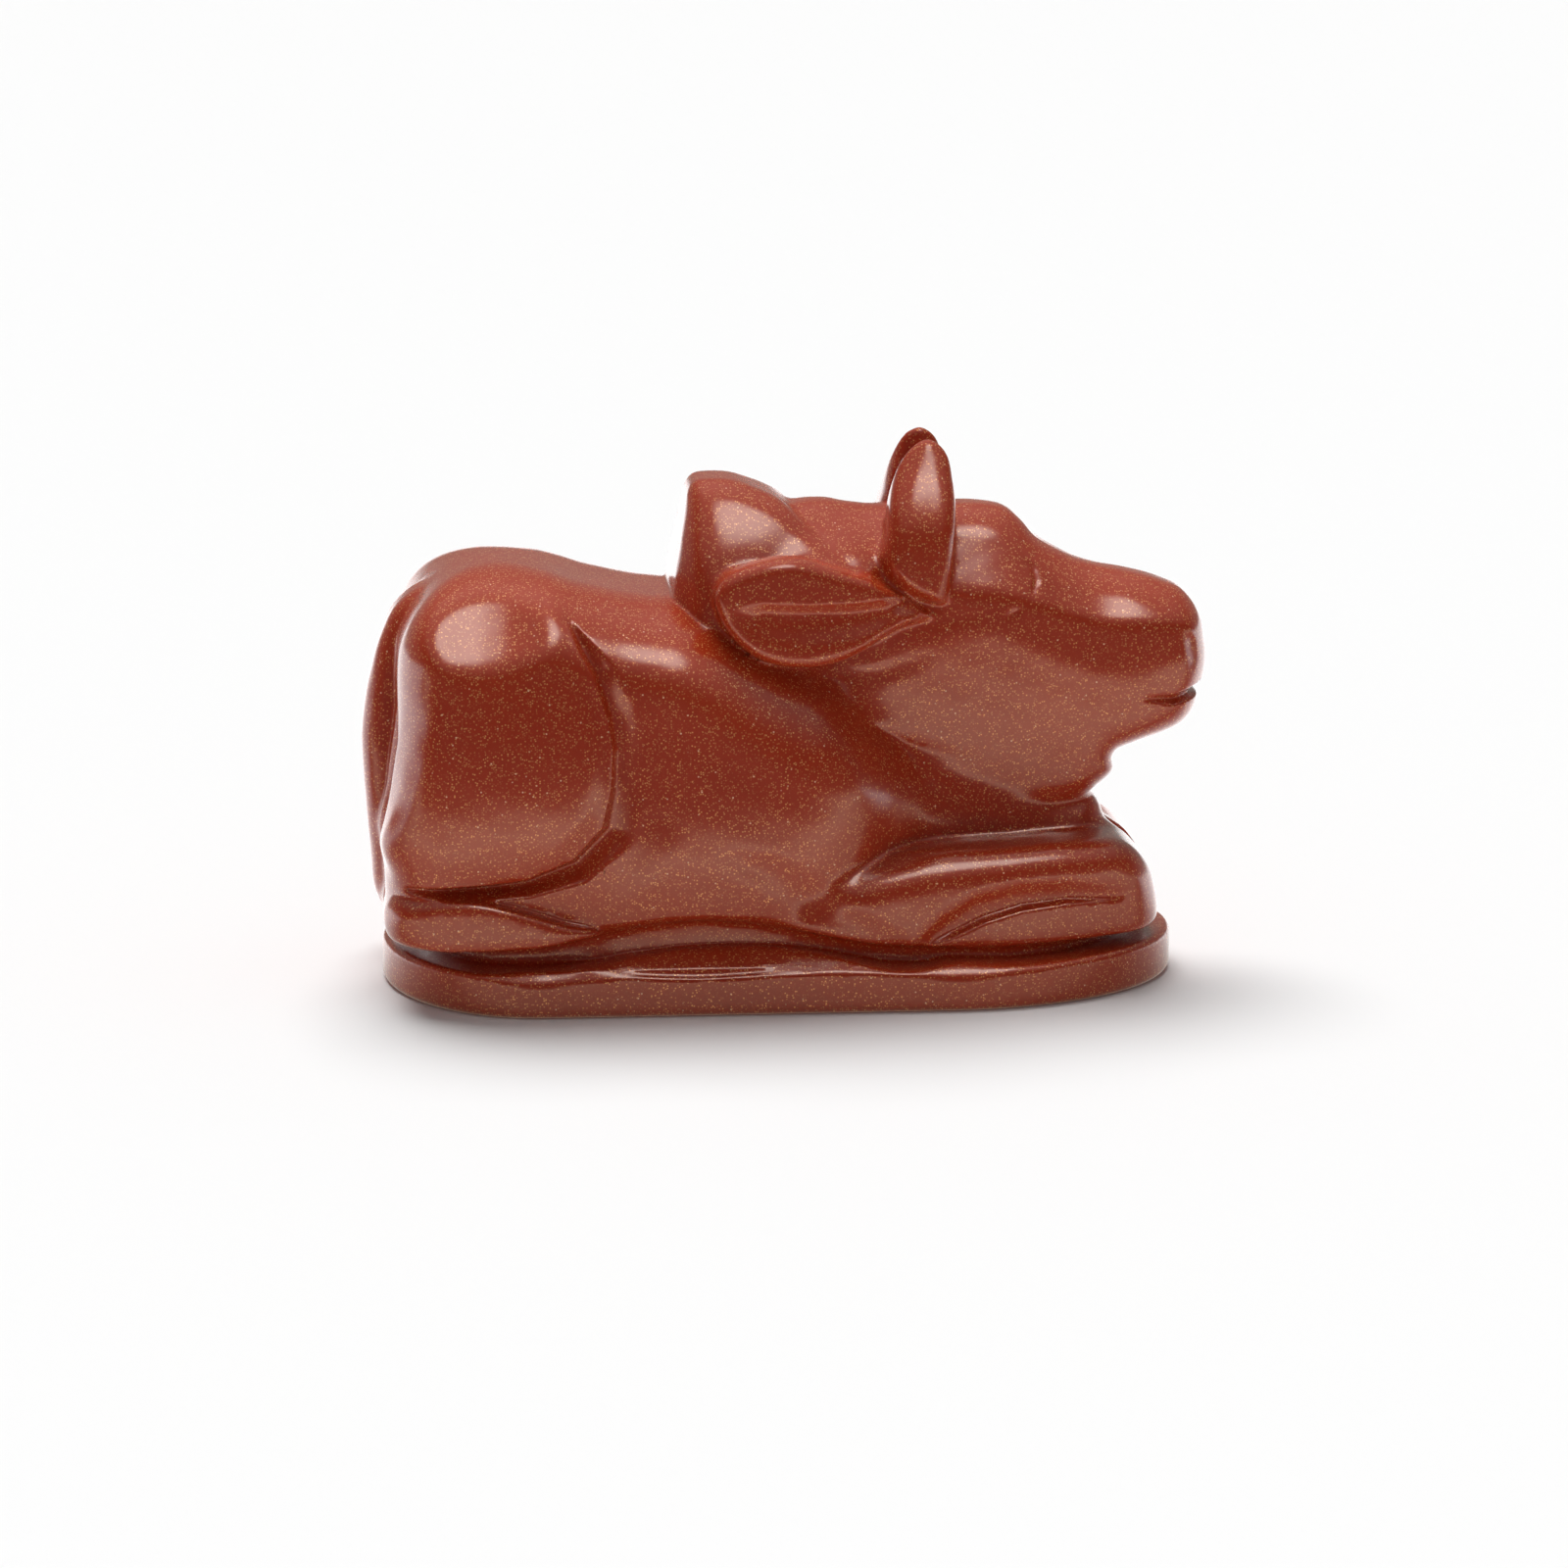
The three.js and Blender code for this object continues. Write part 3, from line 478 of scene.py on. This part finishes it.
def massDistance(mass, x, y, z):
    away = lookUp(mass["outline"], x, z)
    leanFrom, lean = mass.get("lean", (0, 0))
    level, below, above = mass.get("narrow", (0, 0, 0))
    middle = np.interp(x, *mass["middle"]) + lean * softOver(z - leanFrom, bull["leanTurn"])
    off = z - level
    half = np.interp(x, *mass["half"]) - np.where(off < 0, below, above) * off * off
    if "above" in mass:
        over = softOver(z - np.interp(x, *mass["above"]), mass["aboveTurn"])
        half = half - np.interp(x, *mass["aboveSlope"]) * over
    if "under" in mass:
        over = softOver(np.interp(x, *mass["under"]) - z, mass["underTurn"])
        half = half - mass["underSlope"] * over
    half = bull["leastHalf"] + softOver(half - bull["leastHalf"], bull["leastHalfTurn"])
    edge = np.interp(x, *mass["edge"])
    side = np.minimum(np.interp(x, *mass["side"]), half)
    p = np.maximum(1 + away / edge, 0)
    q = np.maximum(1 + (np.abs(y - middle) - half) / side, 0)
    r = np.hypot(p, q)
    slope = np.hypot(p / edge, q / side) / np.maximum(r, 0.05)
    return np.where(r > 0.05, (r - 1) / np.maximum(slope, 1e-6), -np.minimum(edge, side))


def planDistance(x, y, inset):
    # how far out of the plinth's plan, less an inset; its ends are half ellipses
    ahead = x - bull["plinthMiddle"]
    curve = np.where(ahead < 0, bull["plinthRearCurve"], bull["plinthFrontCurve"]) - inset
    halfWidth = bull["plinthHalfWidth"] - inset
    past = np.maximum(np.abs(ahead) - bull["plinthHalfLength"] + inset + curve, 0) / curve
    out = np.hypot(past, y / halfWidth)
    slope = np.hypot(past / curve, y / halfWidth ** 2) / np.maximum(out, 0.05)
    return np.where(out > 0.05, (out - 1) / np.maximum(slope, 1e-6), -halfWidth)


def plinthDistance(x, y, z):
    rim = bull["plinthRim"]
    half = bull["plinthThickness"] / 2
    edge = planDistance(x, y, 0)
    out, up = edge + rim, np.abs(z + half) - half + rim
    slab = np.minimum(np.maximum(out, up), 0) - rim
    slab = slab + np.hypot(np.maximum(out, 0), np.maximum(up, 0))
    sunk = z + np.interp(x, *rimDropTable)
    chamfer = (edge + z + np.interp(x, *rimChamferTable)) * bull["chamferSlope"]
    slab = -softUnion(-slab, -sunk, bull["rimDropTurn"])
    return -softUnion(-slab, -chamfer, bull["chamferTurn"])


def cutStrokes(d, x, y, z, left):
    for stroke in strokes:
        reached = y >= stroke["beyond"]
        if stroke.get("side"):
            reached = reached & left
        d = d + np.where(reached, strokeDepth(stroke["line"], x, z), 0)
    return d


def handWaver(x, y, z):
    # slow unevenness that grinding by hand leaves
    size = bull["waver"]
    return size * (np.sin(0.83 * x + 0.5 * z + 1.1) * np.sin(0.71 * z - 0.31 * x + 0.4 * y)
                   + 0.6 * np.sin(1.53 * x - 0.9 * z + 0.7 * y + 2.3) * np.sin(1.21 * z + 0.4 * x))


def rumpFacet(x, y, z):
    # a nearly flat place ground on the rump, that fades to both ends
    middle, tilt = bull["rumpFacet"], radians(bull["rumpFacetTilt"])
    above = (y - middle[1]) * cos(tilt) + (z - middle[2]) * sin(tilt)
    return above - bull["rumpFacetCurve"] * (x - middle[0]) ** 2


def bullDistance(x, y, z):
    left = y > 0
    y = np.abs(y)
    d = np.full(len(x), 50.0)
    for mass in readyMasses:
        low, high = mass["low"], mass["high"]
        near = np.flatnonzero((x > low[0]) & (x < high[0]) & (z > low[1]) & (z < high[1]))
        if len(near):
            part = massDistance(mass, x[near], y[near], z[near])
            d[near] = softUnion(d[near], part, np.interp(x[near], *mass["blend"]))
    d = cutStrokes(d, x, y, z, left)
    fade, bottom = bull["reachFade"], bull["coreBottom"]
    d = d + strokeDepth(tailHollow, y, z) * np.clip((bull["tailReach"] - x) / fade, 0, 1)
    d = d + strokeDepth(kneeParting, y, z) * np.clip((x - bull["kneeReach"]) / fade, 0, 1)
    d = -softUnion(-d, -rumpFacet(x, y, z), bull["rumpFacetTurn"])
    d = -softUnion(-d, z - np.interp(x, *lowerEdgeTable), bull["underEdgeRounding"])
    core = np.maximum(planDistance(x, y, bull["coreInset"]), z - bull["coreTop"])
    d = softUnion(d, np.maximum(core, bottom - z), bull["underEdgeBlend"])
    lean = bull["ledgeInset"] + bull["ledgeLean"] * np.clip(z, 0, bull["ledgeHeight"])
    top = np.interp(x, *ledgeTopTable) - z
    ledge = -softUnion(-planDistance(x, y, 0) - lean, top, bull["ledgeTurn"])
    d = np.minimum(d, np.maximum(ledge, bottom - z))
    d = softUnion(d, plinthDistance(x, y, z), bull["plinthBlend"])
    return d + handWaver(x, y, z) * np.clip(z + 5, 0, 1)  # the underside stays flat


def formSlope(place, here):
    nudge = 0.03
    x, y, z = place.T
    return np.stack([bullDistance(x + nudge, y, z) - here, bullDistance(x, y + nudge, z) - here,
                     bullDistance(x, y, z + nudge) - here], 1) / nudge


def moveOntoForm(place, rounds):
    # each point goes down or up the slope of the form until it lies on it
    leastSteep, longestMove = 0.15, 0.8
    for _ in range(rounds):
        here = bullDistance(*place.T)
        slope = formSlope(place, here)
        steep = np.maximum((slope ** 2).sum(1), leastSteep)
        move = -(here / steep)[:, None] * slope
        length = np.linalg.norm(move, axis=1)[:, None]
        place = place + move * np.minimum(1, longestMove / np.maximum(length, 1e-9))
    return place


def inMetres(place):
    share = bull["length"] / 100
    return place * share + (bull["startX"], 0, bull["plinthTop"])


def readPlaces(piece):
    co = np.empty(len(piece.data.vertices) * 3)
    piece.data.vertices.foreach_get("co", co)
    share = bull["length"] / 100
    return (co.reshape(-1, 3) - (bull["startX"], 0, bull["plinthTop"])) / share


def writePlaces(piece, place):
    co = inMetres(place)
    co[:, 2] = np.maximum(co[:, 2], 0)
    piece.data.vertices.foreach_set("co", co.ravel())
    piece.data.update()


def relax(piece, rounds, factor=0.5):
    smooth = piece.modifiers.new("relax", "SMOOTH")
    smooth.factor = factor
    smooth.iterations = rounds
    bpy.ops.object.modifier_apply(modifier=smooth.name)


def selectFaces(piece, chosen):
    # leaves the piece in edit mode with just these faces selected
    bpy.ops.object.mode_set(mode="EDIT")
    bpy.ops.mesh.select_mode(type="FACE")
    bpy.ops.mesh.select_all(action="DESELECT")
    bpy.ops.object.mode_set(mode="OBJECT")
    piece.data.polygons.foreach_set("select", chosen)
    bpy.ops.object.mode_set(mode="EDIT")


def divideWhereItTurns(piece, degrees):
    # the faces over which the skin turns quickly are halved both ways
    place = readPlaces(piece)
    normal = formSlope(place, bullDistance(*place.T))
    normal /= np.maximum(np.linalg.norm(normal, axis=1), 1e-9)[:, None]
    limit = cos(radians(degrees))
    chosen = []
    for face in piece.data.polygons:
        turns = normal[list(face.vertices)]
        chosen.append((turns @ turns.T).min() < limit)
    selectFaces(piece, chosen)
    bpy.ops.mesh.subdivide(number_cuts=1)
    bpy.ops.object.mode_set(mode="OBJECT")


def flattenUnderside(piece):
    # the ground underside needs no fine faces
    places = readPlaces(piece)
    under = 0.01 - bull["plinthThickness"]
    chosen = [places[list(face.vertices), 2].max() < under for face in piece.data.polygons]
    selectFaces(piece, chosen)
    bpy.ops.mesh.dissolve_limited(angle_limit=radians(1))
    bpy.ops.object.mode_set(mode="OBJECT")


def skinForm():
    # samples the form on a grid and lays one point in each cell that its surface crosses
    step = bull["gridStep"]
    low = np.array(bull["gridLow"])
    size = np.ceil((np.array(bull["gridHigh"]) - low) / step).astype(int) + 1
    x, y, z = [low[k] + np.arange(size[k]) * step for k in range(3)]
    gx, gy, gz = np.meshgrid(x, y, z, indexing="ij")
    field = bullDistance(gx.ravel(), gy.ravel(), gz.ravel()).reshape(size)
    inside = field < 0
    cells = size - 1
    total = np.zeros((*cells, 3))
    count = np.zeros(cells)
    corners = [(i, j, k) for i in (0, 1) for j in (0, 1) for k in (0, 1)]
    for a in corners:
        for b in corners:
            if sum(b) - sum(a) != 1 or sum(abs(p - q) for p, q in zip(a, b)) != 1:
                continue
            fa = field[tuple(slice(p, p + n) for p, n in zip(a, cells))]
            fb = field[tuple(slice(p, p + n) for p, n in zip(b, cells))]
            crossed = (fa < 0) != (fb < 0)
            t = np.where(crossed, fa / np.where(crossed, fa - fb, 1), 0)
            for axis in range(3):
                total[..., axis] += np.where(crossed, a[axis] + t * (b[axis] - a[axis]), 0)
            count += crossed
    used = count > 0
    number = np.full(cells, -1)
    number[used] = np.arange(used.sum())
    where = np.argwhere(used)
    place = low + (where + total[used] / count[used][:, None]) * step

    faces = []
    for axis in range(3):
        u, v = [(1, 2), (2, 0), (0, 1)][axis]
        first = [slice(1, -1)] * 3
        first[axis] = slice(0, -1)
        second = list(first)
        second[axis] = slice(1, None)
        starts, ends = inside[tuple(first)], inside[tuple(second)]
        for outward in (True, False):
            at = np.argwhere((starts & ~ends) if outward else (~starts & ends))
            at = at + [0 if k == axis else 1 for k in range(3)]
            around = []
            for du, dv in ((0, 0), (1, 0), (1, 1), (0, 1)):
                cell = at.copy()
                cell[:, u] -= 1 - du
                cell[:, v] -= 1 - dv
                around.append(number[tuple(cell.T)])
            quad = np.stack(around, 1)
            faces.append(quad if outward else quad[:, ::-1])
    return place, np.concatenate(faces)


def carveBull():
    place, faces = skinForm()
    mesh = bpy.data.meshes.new("carvedBull")
    mesh.from_pydata(inMetres(place).tolist(), [], faces.tolist())
    piece = bpy.data.objects.new("carvedBull", mesh)
    scene.collection.objects.link(piece)
    bpy.ops.object.select_all(action="DESELECT")
    bpy.context.view_layer.objects.active = piece
    piece.select_set(True)
    print("form blocked out:", len(mesh.vertices), "points")

    for _ in range(3):
        writePlaces(piece, moveOntoForm(readPlaces(piece), 2))
        relax(piece, 2)
    writePlaces(piece, moveOntoForm(readPlaces(piece), 2))
    for turn in bull["divideTurns"]:
        divideWhereItTurns(piece, turn)
        writePlaces(piece, moveOntoForm(readPlaces(piece), 2))
        relax(piece, 1)
        writePlaces(piece, moveOntoForm(readPlaces(piece), 2))
    flattenUnderside(piece)
    bpy.ops.object.shade_smooth()
    triangles = sum(len(face.vertices) - 2 for face in piece.data.polygons)
    print("form carved:", len(piece.data.vertices), "points", triangles, "triangles")
    return piece


carved = carveBull()
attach(carved, "root")
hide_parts("reclining_bull")


# Stone: brown glass full of fine copper crystals, polished, with glints of light off the crystals
# painted into its colour

stoneLook = {
    "deepColor": (0.30, 0.018, 0.003, 1),
    "warmColor": (0.42, 0.036, 0.006, 1),
    "grainColor": (0.95, 0.46, 0.17, 1),
    # the glint colour is partly the crystals' own copper and partly a painted glint: pale specks that
    # stand in for light catching them
    "glintColor": (1.0, 0.66, 0.42, 1),
    "grainScale": 7000.0,
    "glintScale": 4200.0,
    "grainShare": 0.5,  # how many cells of the foam hold a flake, and how wide the flakes are
    "grainSize": 0.6,
    "glintShare": 0.035,
    "glintSize": 0.36,
    "cloudScale": 90.0,
    "cloudDetail": 3.0,
    "waveScale": 420.0,
    "waveDetail": 2.0,
    "waveHeight": 0.00006,
    "waveStrength": 0.25,
    "roughness": 0.5,
    "flakeMetal": 0.8,
    "specular": 0.1,
    "coatWeight": 1.0,
    "coatRoughness": 0.2,
    "ior": 1.52,
}


def addNode(tree, kind, at, **values):
    node = tree.nodes.new(kind)
    node.location = at
    for name, value in values.items():
        setattr(node, name, value)
    return node


def newGroup(name, inputs, outputs):
    tree = bpy.data.node_groups.new(name, "ShaderNodeTree")
    for label, kind, value in inputs:
        socket = tree.interface.new_socket(name=label, in_out="INPUT", socket_type=kind)
        if value is not None:
            socket.default_value = value
    for label, kind in outputs:
        tree.interface.new_socket(name=label, in_out="OUTPUT", socket_type=kind)
    return tree, addNode(tree, "NodeGroupInput", (-900, 0)), addNode(tree, "NodeGroupOutput", (900, 0))


def crystalGroup():
    # a flake in some of the cells of a fine foam: mask of the flakes, and each cell's own shade
    tree, given, made = newGroup(
        "copperCrystals",
        [("Place", "NodeSocketVector", None), ("Scale", "NodeSocketFloat", 3000.0),
         ("Share", "NodeSocketFloat", 0.1), ("Size", "NodeSocketFloat", 0.35)],
        [("Flake", "NodeSocketFloat"), ("Shade", "NodeSocketFloat")],
    )
    link = tree.links.new
    foam = addNode(tree, "ShaderNodeTexVoronoi", (-600, 0), feature="F1")
    link(given.outputs["Place"], foam.inputs["Vector"])
    link(given.outputs["Scale"], foam.inputs["Scale"])
    parts = addNode(tree, "ShaderNodeSeparateColor", (-350, 100))
    link(foam.outputs["Color"], parts.inputs["Color"])
    chosen = addNode(tree, "ShaderNodeMath", (-100, 200), operation="LESS_THAN")
    link(parts.outputs["Red"], chosen.inputs[0])
    link(given.outputs["Share"], chosen.inputs[1])
    near = addNode(tree, "ShaderNodeMapRange", (-100, 0), interpolation_type="SMOOTHSTEP")
    link(foam.outputs["Distance"], near.inputs["Value"])
    link(given.outputs["Size"], near.inputs["From Min"])
    near.inputs["From Max"].default_value = 0.05  # the flake is whole this near its middle
    near.inputs["To Min"].default_value = 0.0
    near.inputs["To Max"].default_value = 1.0
    flake = addNode(tree, "ShaderNodeMath", (150, 100), operation="MULTIPLY")
    link(chosen.outputs[0], flake.inputs[0])
    link(near.outputs["Result"], flake.inputs[1])
    link(flake.outputs[0], made.inputs["Flake"])
    link(parts.outputs["Green"], made.inputs["Shade"])
    return tree


def buildStone(look):
    stone = bpy.data.materials.new("goldstone")
    stone.use_nodes = True
    tree = stone.node_tree
    link = tree.links.new
    shader = tree.nodes["Principled BSDF"]
    shader.location = (900, 0)
    place = addNode(tree, "ShaderNodeTexCoord", (-1200, 0))
    crystals = crystalGroup()

    cloud = addNode(tree, "ShaderNodeTexNoise", (-900, 300))
    cloud.inputs["Scale"].default_value = look["cloudScale"]
    cloud.inputs["Detail"].default_value = look["cloudDetail"]
    link(place.outputs["Object"], cloud.inputs["Vector"])
    body = addNode(tree, "ShaderNodeMix", (-600, 300), data_type="RGBA")
    link(cloud.outputs["Fac"], body.inputs["Factor"])
    body.inputs["A"].default_value = look["deepColor"]
    body.inputs["B"].default_value = look["warmColor"]

    grain = addNode(tree, "ShaderNodeGroup", (-900, 0), node_tree=crystals, name="fineGrain")
    grain.inputs["Scale"].default_value = look["grainScale"]
    grain.inputs["Share"].default_value = look["grainShare"]
    grain.inputs["Size"].default_value = look["grainSize"]
    link(place.outputs["Object"], grain.inputs["Place"])
    grainStrength = addNode(tree, "ShaderNodeMath", (-600, 0), operation="MULTIPLY")
    link(grain.outputs["Flake"], grainStrength.inputs[0])
    link(grain.outputs["Shade"], grainStrength.inputs[1])
    grained = addNode(tree, "ShaderNodeMix", (-300, 300), data_type="RGBA")
    link(grainStrength.outputs[0], grained.inputs["Factor"])
    link(body.outputs["Result"], grained.inputs["A"])
    grained.inputs["B"].default_value = look["grainColor"]

    # painted glints: sparse pale specks mixed into the base colour, standing in for light that sparkles
    # off the copper crystals
    glint = addNode(tree, "ShaderNodeGroup", (-900, -300), node_tree=crystals, name="glints")
    glint.inputs["Scale"].default_value = look["glintScale"]
    glint.inputs["Share"].default_value = look["glintShare"]
    glint.inputs["Size"].default_value = look["glintSize"]
    link(place.outputs["Object"], glint.inputs["Place"])
    glinting = addNode(tree, "ShaderNodeMix", (0, 300), data_type="RGBA")
    link(glint.outputs["Flake"], glinting.inputs["Factor"])
    link(grained.outputs["Result"], glinting.inputs["A"])
    glinting.inputs["B"].default_value = look["glintColor"]
    link(glinting.outputs["Result"], shader.inputs["Base Color"])
    metal = addNode(tree, "ShaderNodeMath", (0, 0), operation="MULTIPLY")
    link(grainStrength.outputs[0], metal.inputs[0])
    metal.inputs[1].default_value = look["flakeMetal"]
    link(metal.outputs[0], shader.inputs["Metallic"])

    wave = addNode(tree, "ShaderNodeTexNoise", (-300, -500))
    wave.inputs["Scale"].default_value = look["waveScale"]
    wave.inputs["Detail"].default_value = look["waveDetail"]
    link(place.outputs["Object"], wave.inputs["Vector"])
    bump = addNode(tree, "ShaderNodeBump", (300, -500))
    bump.inputs["Strength"].default_value = look["waveStrength"]
    bump.inputs["Distance"].default_value = look["waveHeight"]
    link(wave.outputs["Fac"], bump.inputs["Height"])
    link(bump.outputs["Normal"], shader.inputs["Normal"])

    shader.inputs["Roughness"].default_value = look["roughness"]
    shader.inputs["Specular IOR Level"].default_value = look["specular"]
    shader.inputs["Coat Weight"].default_value = look["coatWeight"]
    shader.inputs["Coat Roughness"].default_value = look["coatRoughness"]
    shader.inputs["Coat IOR"].default_value = look["ior"]
    shader.inputs["IOR"].default_value = look["ior"]
    return stone


carved.data.materials.clear()
carved.data.materials.append(buildStone(stoneLook))
print("stone polished")


# Studio: pale floor, pale surroundings with a dim side towards the camera, and a soft window above

studio = {
    "floorSize": 8.0,
    "floorColor": (0.86, 0.86, 0.86, 1),
    "floorRoughness": 0.9,
    "floorSpecular": 0.1,
    # how bright the floor shows in the polish, by its place across the figure in metres; it is dimmed
    # close to and under the plinth, a painted shadow of the figure in the reflection
    "floorShine": [
        (-0.078, 0.03), (-0.056, 0.25), (-0.045, 1.4), (-0.036, 2.5), (-0.028, 1.3), (-0.018, 1.0),
        (-0.012, 0.3), (0.02, 0.2),
    ],
    "floorTint": (1.0, 0.84, 0.62),
    "floorGlow": 2.0,
    "roomTint": (0.96, 0.94, 0.84, 1),
    "roomLight": 0.24,
    "frontShine": 0.03,
    "backShine": 0.3,
    "backFrom": -0.15,  # y of the direction where the dim front starts to turn into the back
    "backTo": 0.8,
    "ceilingShine": 0.8,
    "ceilingFrom": 0.30,  # z of the direction where the ceiling starts to show
    "ceilingTo": 0.95,
    "windowShine": 7.5,
    "windowRise": 70.0,
    "windowTurn": 28.0,
    "windowCore": 6.5,  # degrees from its middle that it stays bright, and where it ends
    "windowEnd": 17.0,
    "skylightPower": 3.17,
    "skylightRise": 66.0,
    "skylightTurn": -168.0,
    "skylightSpread": 42.0,
}


def buildFloor(values):
    bpy.ops.mesh.primitive_plane_add(size=values["floorSize"])
    floor = bpy.context.object
    floor.name = "floor"
    paint = bpy.data.materials.new("paleFloor")
    paint.use_nodes = True
    tree = paint.node_tree
    link = tree.links.new
    shader = tree.nodes["Principled BSDF"]
    shader.inputs["Base Color"].default_value = values["floorColor"]
    shader.inputs["Roughness"].default_value = values["floorRoughness"]
    shader.inputs["Specular IOR Level"].default_value = values["floorSpecular"]
    place = addNode(tree, "ShaderNodeTexCoord", (-900, -200))
    reach = addNode(tree, "ShaderNodeSeparateXYZ", (-700, -200))
    link(place.outputs["Object"], reach.inputs[0])
    # the glow shows only in the polish; its low stops next to and under the plinth are a painted shadow
    # of the figure
    stops = values["floorShine"]
    across = addNode(tree, "ShaderNodeMapRange", (-500, -200))
    link(reach.outputs["Y"], across.inputs["Value"])
    across.inputs["From Min"].default_value = stops[0][0]
    across.inputs["From Max"].default_value = stops[-1][0]
    shine = addNode(tree, "ShaderNodeValToRGB", (-300, -200))
    shine.color_ramp.interpolation = "EASE"
    for at, bright in stops:
        position = (at - stops[0][0]) / (stops[-1][0] - stops[0][0])
        stop = shine.color_ramp.elements.new(position)
        stop.color = (*[bright / values["floorGlow"] * tint for tint in values["floorTint"]], 1)
    shine.color_ramp.elements.remove(shine.color_ramp.elements[0])
    shine.color_ramp.elements.remove(shine.color_ramp.elements[-1])
    link(across.outputs["Result"], shine.inputs["Fac"])
    glow = addNode(tree, "ShaderNodeEmission", (0, -300))
    link(shine.outputs["Color"], glow.inputs["Color"])
    glow.inputs["Strength"].default_value = values["floorGlow"]
    path = addNode(tree, "ShaderNodeLightPath", (0, 200))
    mix = addNode(tree, "ShaderNodeMixShader", (250, 0))
    link(path.outputs["Is Glossy Ray"], mix.inputs[0])
    link(shader.outputs[0], mix.inputs[1])
    link(glow.outputs[0], mix.inputs[2])
    link(mix.outputs[0], tree.nodes["Material Output"].inputs["Surface"])
    floor.data.materials.append(paint)


def buildRoom(values):
    # what lights the room is plain; what shows in the polish is dim towards the camera, pale above
    # and behind, with one soft window
    world = bpy.data.worlds.new("studio")
    scene.world = world
    world.use_nodes = True
    tree = world.node_tree
    link = tree.links.new
    plain = tree.nodes["Background"]
    plain.inputs["Color"].default_value = (1, 1, 1, 1)
    plain.inputs["Strength"].default_value = values["roomLight"]
    around = addNode(tree, "ShaderNodeTexCoord", (-1200, 0))
    parts = addNode(tree, "ShaderNodeSeparateXYZ", (-1000, 0))
    link(around.outputs["Generated"], parts.inputs[0])

    def ramp(source, fromMin, fromMax, toMin, toMax, at):
        node = addNode(tree, "ShaderNodeMapRange", at, interpolation_type="SMOOTHSTEP")
        link(source, node.inputs["Value"])
        for name, value in (("From Min", fromMin), ("From Max", fromMax),
                            ("To Min", toMin), ("To Max", toMax)):
            node.inputs[name].default_value = value
        return node.outputs["Result"]

    def joined(first, second, operation, at):
        node = addNode(tree, "ShaderNodeMath", at, operation=operation)
        link(first, node.inputs[0])
        link(second, node.inputs[1])
        return node.outputs[0]

    behind = ramp(parts.outputs["Y"], values["backFrom"], values["backTo"],
                  values["frontShine"], values["backShine"], (-800, 200))
    above = ramp(parts.outputs["Z"], values["ceilingFrom"], values["ceilingTo"],
                 0.0, values["ceilingShine"], (-800, -50))
    turn, rise = radians(values["windowTurn"]), radians(values["windowRise"])
    aim = addNode(tree, "ShaderNodeVectorMath", (-1000, -350), operation="DOT_PRODUCT")
    link(around.outputs["Generated"], aim.inputs[0])
    aim.inputs[1].default_value = (sin(turn) * cos(rise), -cos(turn) * cos(rise), sin(rise))
    window = ramp(aim.outputs["Value"], cos(radians(values["windowEnd"])),
                  cos(radians(values["windowCore"])), 0.0, values["windowShine"], (-800, -350))
    light = joined(joined(behind, above, "MAXIMUM", (-550, 100)), window, "ADD", (-350, 0))
    shown = addNode(tree, "ShaderNodeBackground", (-150, -100))
    shown.inputs["Color"].default_value = values["roomTint"]
    link(light, shown.inputs["Strength"])
    path = addNode(tree, "ShaderNodeLightPath", (-500, 450))
    mix = addNode(tree, "ShaderNodeMixShader", (100, 100))
    link(path.outputs["Is Glossy Ray"], mix.inputs[0])
    link(plain.outputs[0], mix.inputs[1])
    link(shown.outputs[0], mix.inputs[2])
    link(mix.outputs[0], tree.nodes["World Output"].inputs["Surface"])


def addSkylight(values):
    # broad daylight from above and a little behind; the polish shows the window instead
    rise, turn = radians(values["skylightRise"]), radians(values["skylightTurn"])
    toLight = Vector((sin(turn) * cos(rise), -cos(turn) * cos(rise), sin(rise)))
    bpy.ops.object.light_add(type="SUN", location=toLight)
    skylight = bpy.context.object
    skylight.name = "skylight"
    skylight.data.energy = values["skylightPower"]
    skylight.data.angle = radians(values["skylightSpread"])
    skylight.rotation_mode = "QUATERNION"
    skylight.rotation_quaternion = (-toLight).to_track_quat("-Z", "Y")
    skylight.visible_glossy = False


buildFloor(studio)
buildRoom(studio)
addSkylight(studio)
scene.view_settings.view_transform = "Standard"
print("studio lit")
